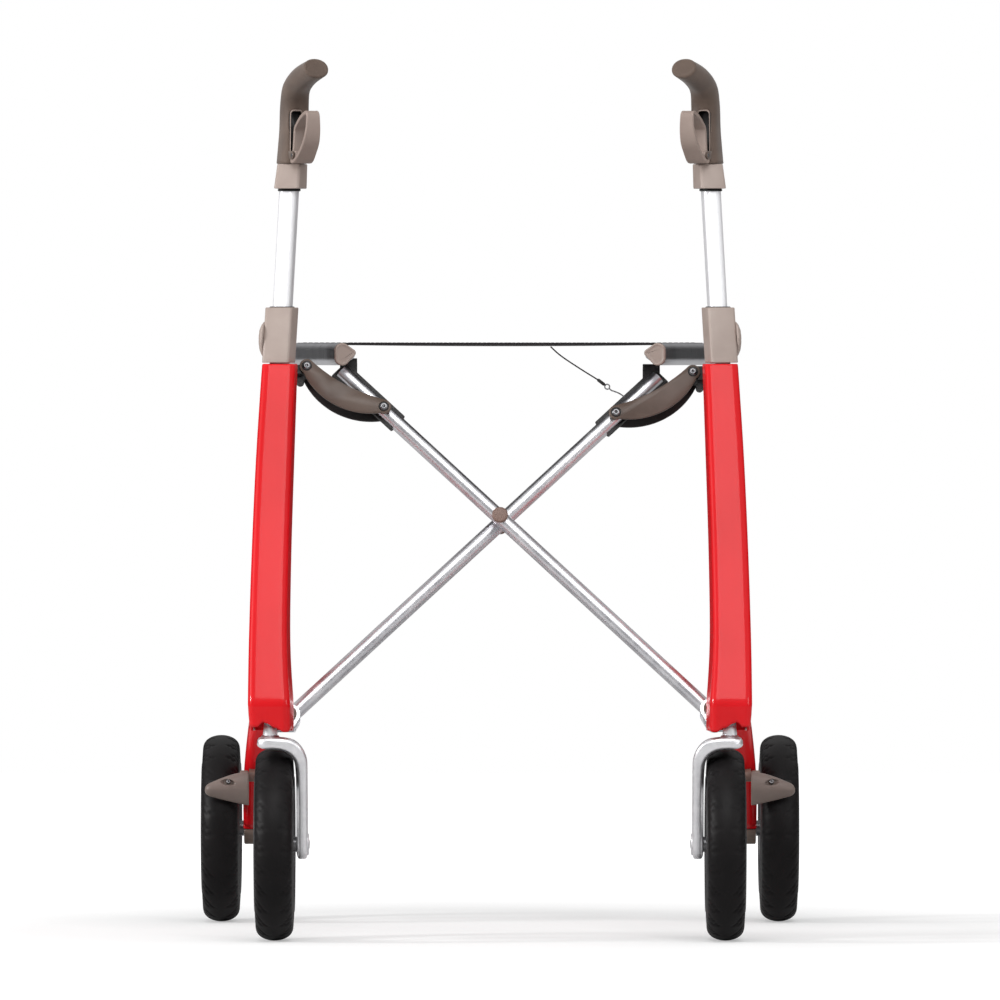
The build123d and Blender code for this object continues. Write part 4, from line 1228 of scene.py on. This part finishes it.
def build_stage():
    """Pale floor that the lens sees as white, more so away from the walker."""
    mesh = bpy.data.meshes.new("floor")
    corners = [(x * FLOOR_REACH, y * FLOOR_REACH, 0) for x, y in ((-1, -1), (1, -1), (1, 1), (-1, 1))]
    mesh.from_pydata(corners, [], [(0, 1, 2, 3)])
    s = Shader("pale_floor", rough=0.7, specular=0.0)
    s.colour(s.noise(0.6, 2.0), 0.0, (0.58, 0.58, 0.58, 1), 1.0, (0.61, 0.61, 0.61, 1))
    s.set("Emission Color", (1, 1, 1, 1))
    radial = s.node("ShaderNodeVectorMath", operation="LENGTH")
    s.link(s.place, radial.inputs[0])
    beyond = s.math("MAXIMUM", s.math("SUBTRACT", radial.outputs["Value"], 0.5), 0.0)
    lift = s.math("ADD", s.math("MINIMUM", s.math("MULTIPLY", beyond, 0.5), 0.45), FLOOR_LIFT)
    seen = s.node("ShaderNodeLightPath").outputs["Is Camera Ray"]
    s.link(s.math("MULTIPLY", seen, lift), s.surface.inputs["Emission Strength"])
    mesh.materials.append(s.material)
    add_object("floor", mesh)


def build_world():
    """White studio: the lens sees plain white; surfaces see a bright ceiling, a lit front and dim walls."""
    world = bpy.data.worlds.new("studio")
    world.use_nodes = True
    w = Nodes(world.node_tree)
    split = w.node("ShaderNodeSeparateXYZ")
    w.link(w.node("ShaderNodeTexCoord").outputs["Generated"], split.inputs["Vector"])
    sky = w.ramp(split.outputs["Z"], [(height, (grey, grey, grey, 1)) for height, grey in SKY])
    front = w.spread(split.outputs["Y"], 0.0, 0.5, -0.35, -0.95)
    background = w.tree.nodes["Background"]
    background.inputs["Strength"].default_value = WORLD_STRENGTH
    w.link(w.math("MAXIMUM", sky, front), background.inputs["Color"])
    seen = w.node("ShaderNodeBackground", {"Color": (1, 1, 1, 1)})
    choose = w.node("ShaderNodeMixShader")
    w.link(w.node("ShaderNodeLightPath").outputs["Is Camera Ray"], choose.inputs["Fac"])
    w.link(background.outputs["Background"], choose.inputs[1])
    w.link(seen.outputs["Background"], choose.inputs[2])
    w.link(choose.outputs["Shader"], w.tree.nodes["World Output"].inputs["Surface"])
    bpy.context.scene.world = world


def area_light(name, place, target, size, power):
    made = add_object(name, assign(bpy.data.lights.new(name, "AREA"), size=size, energy=power))
    made.location = place
    made.rotation_euler = (Vector(target) - Vector(place)).to_track_quat("-Z", "Y").to_euler()


def build_camera():
    lens = assign(bpy.data.cameras.new("camera"), lens=LENS, sensor_width=36.0, clip_end=500.0)
    camera = add_object("camera", lens)
    camera.location = CAMERA_PLACE
    camera.rotation_euler = (math.pi / 2 - CAMERA_PITCH, 0, 0)
    bpy.context.scene.camera = camera


build_stage()
build_world()
area_light("key", (-4.2, -1.2, 1.7), (0, 0, 0.1), 0.7, 120)
area_light("front", (0.2, -3.2, 3.6), (0, 0, 0.45), 2.6, 80)
area_light("side", (3.6, -2.6, 1.6), (0, 0, 0.4), 1.6, 34)
build_camera()
bpy.context.scene.view_settings.view_transform = "Standard"
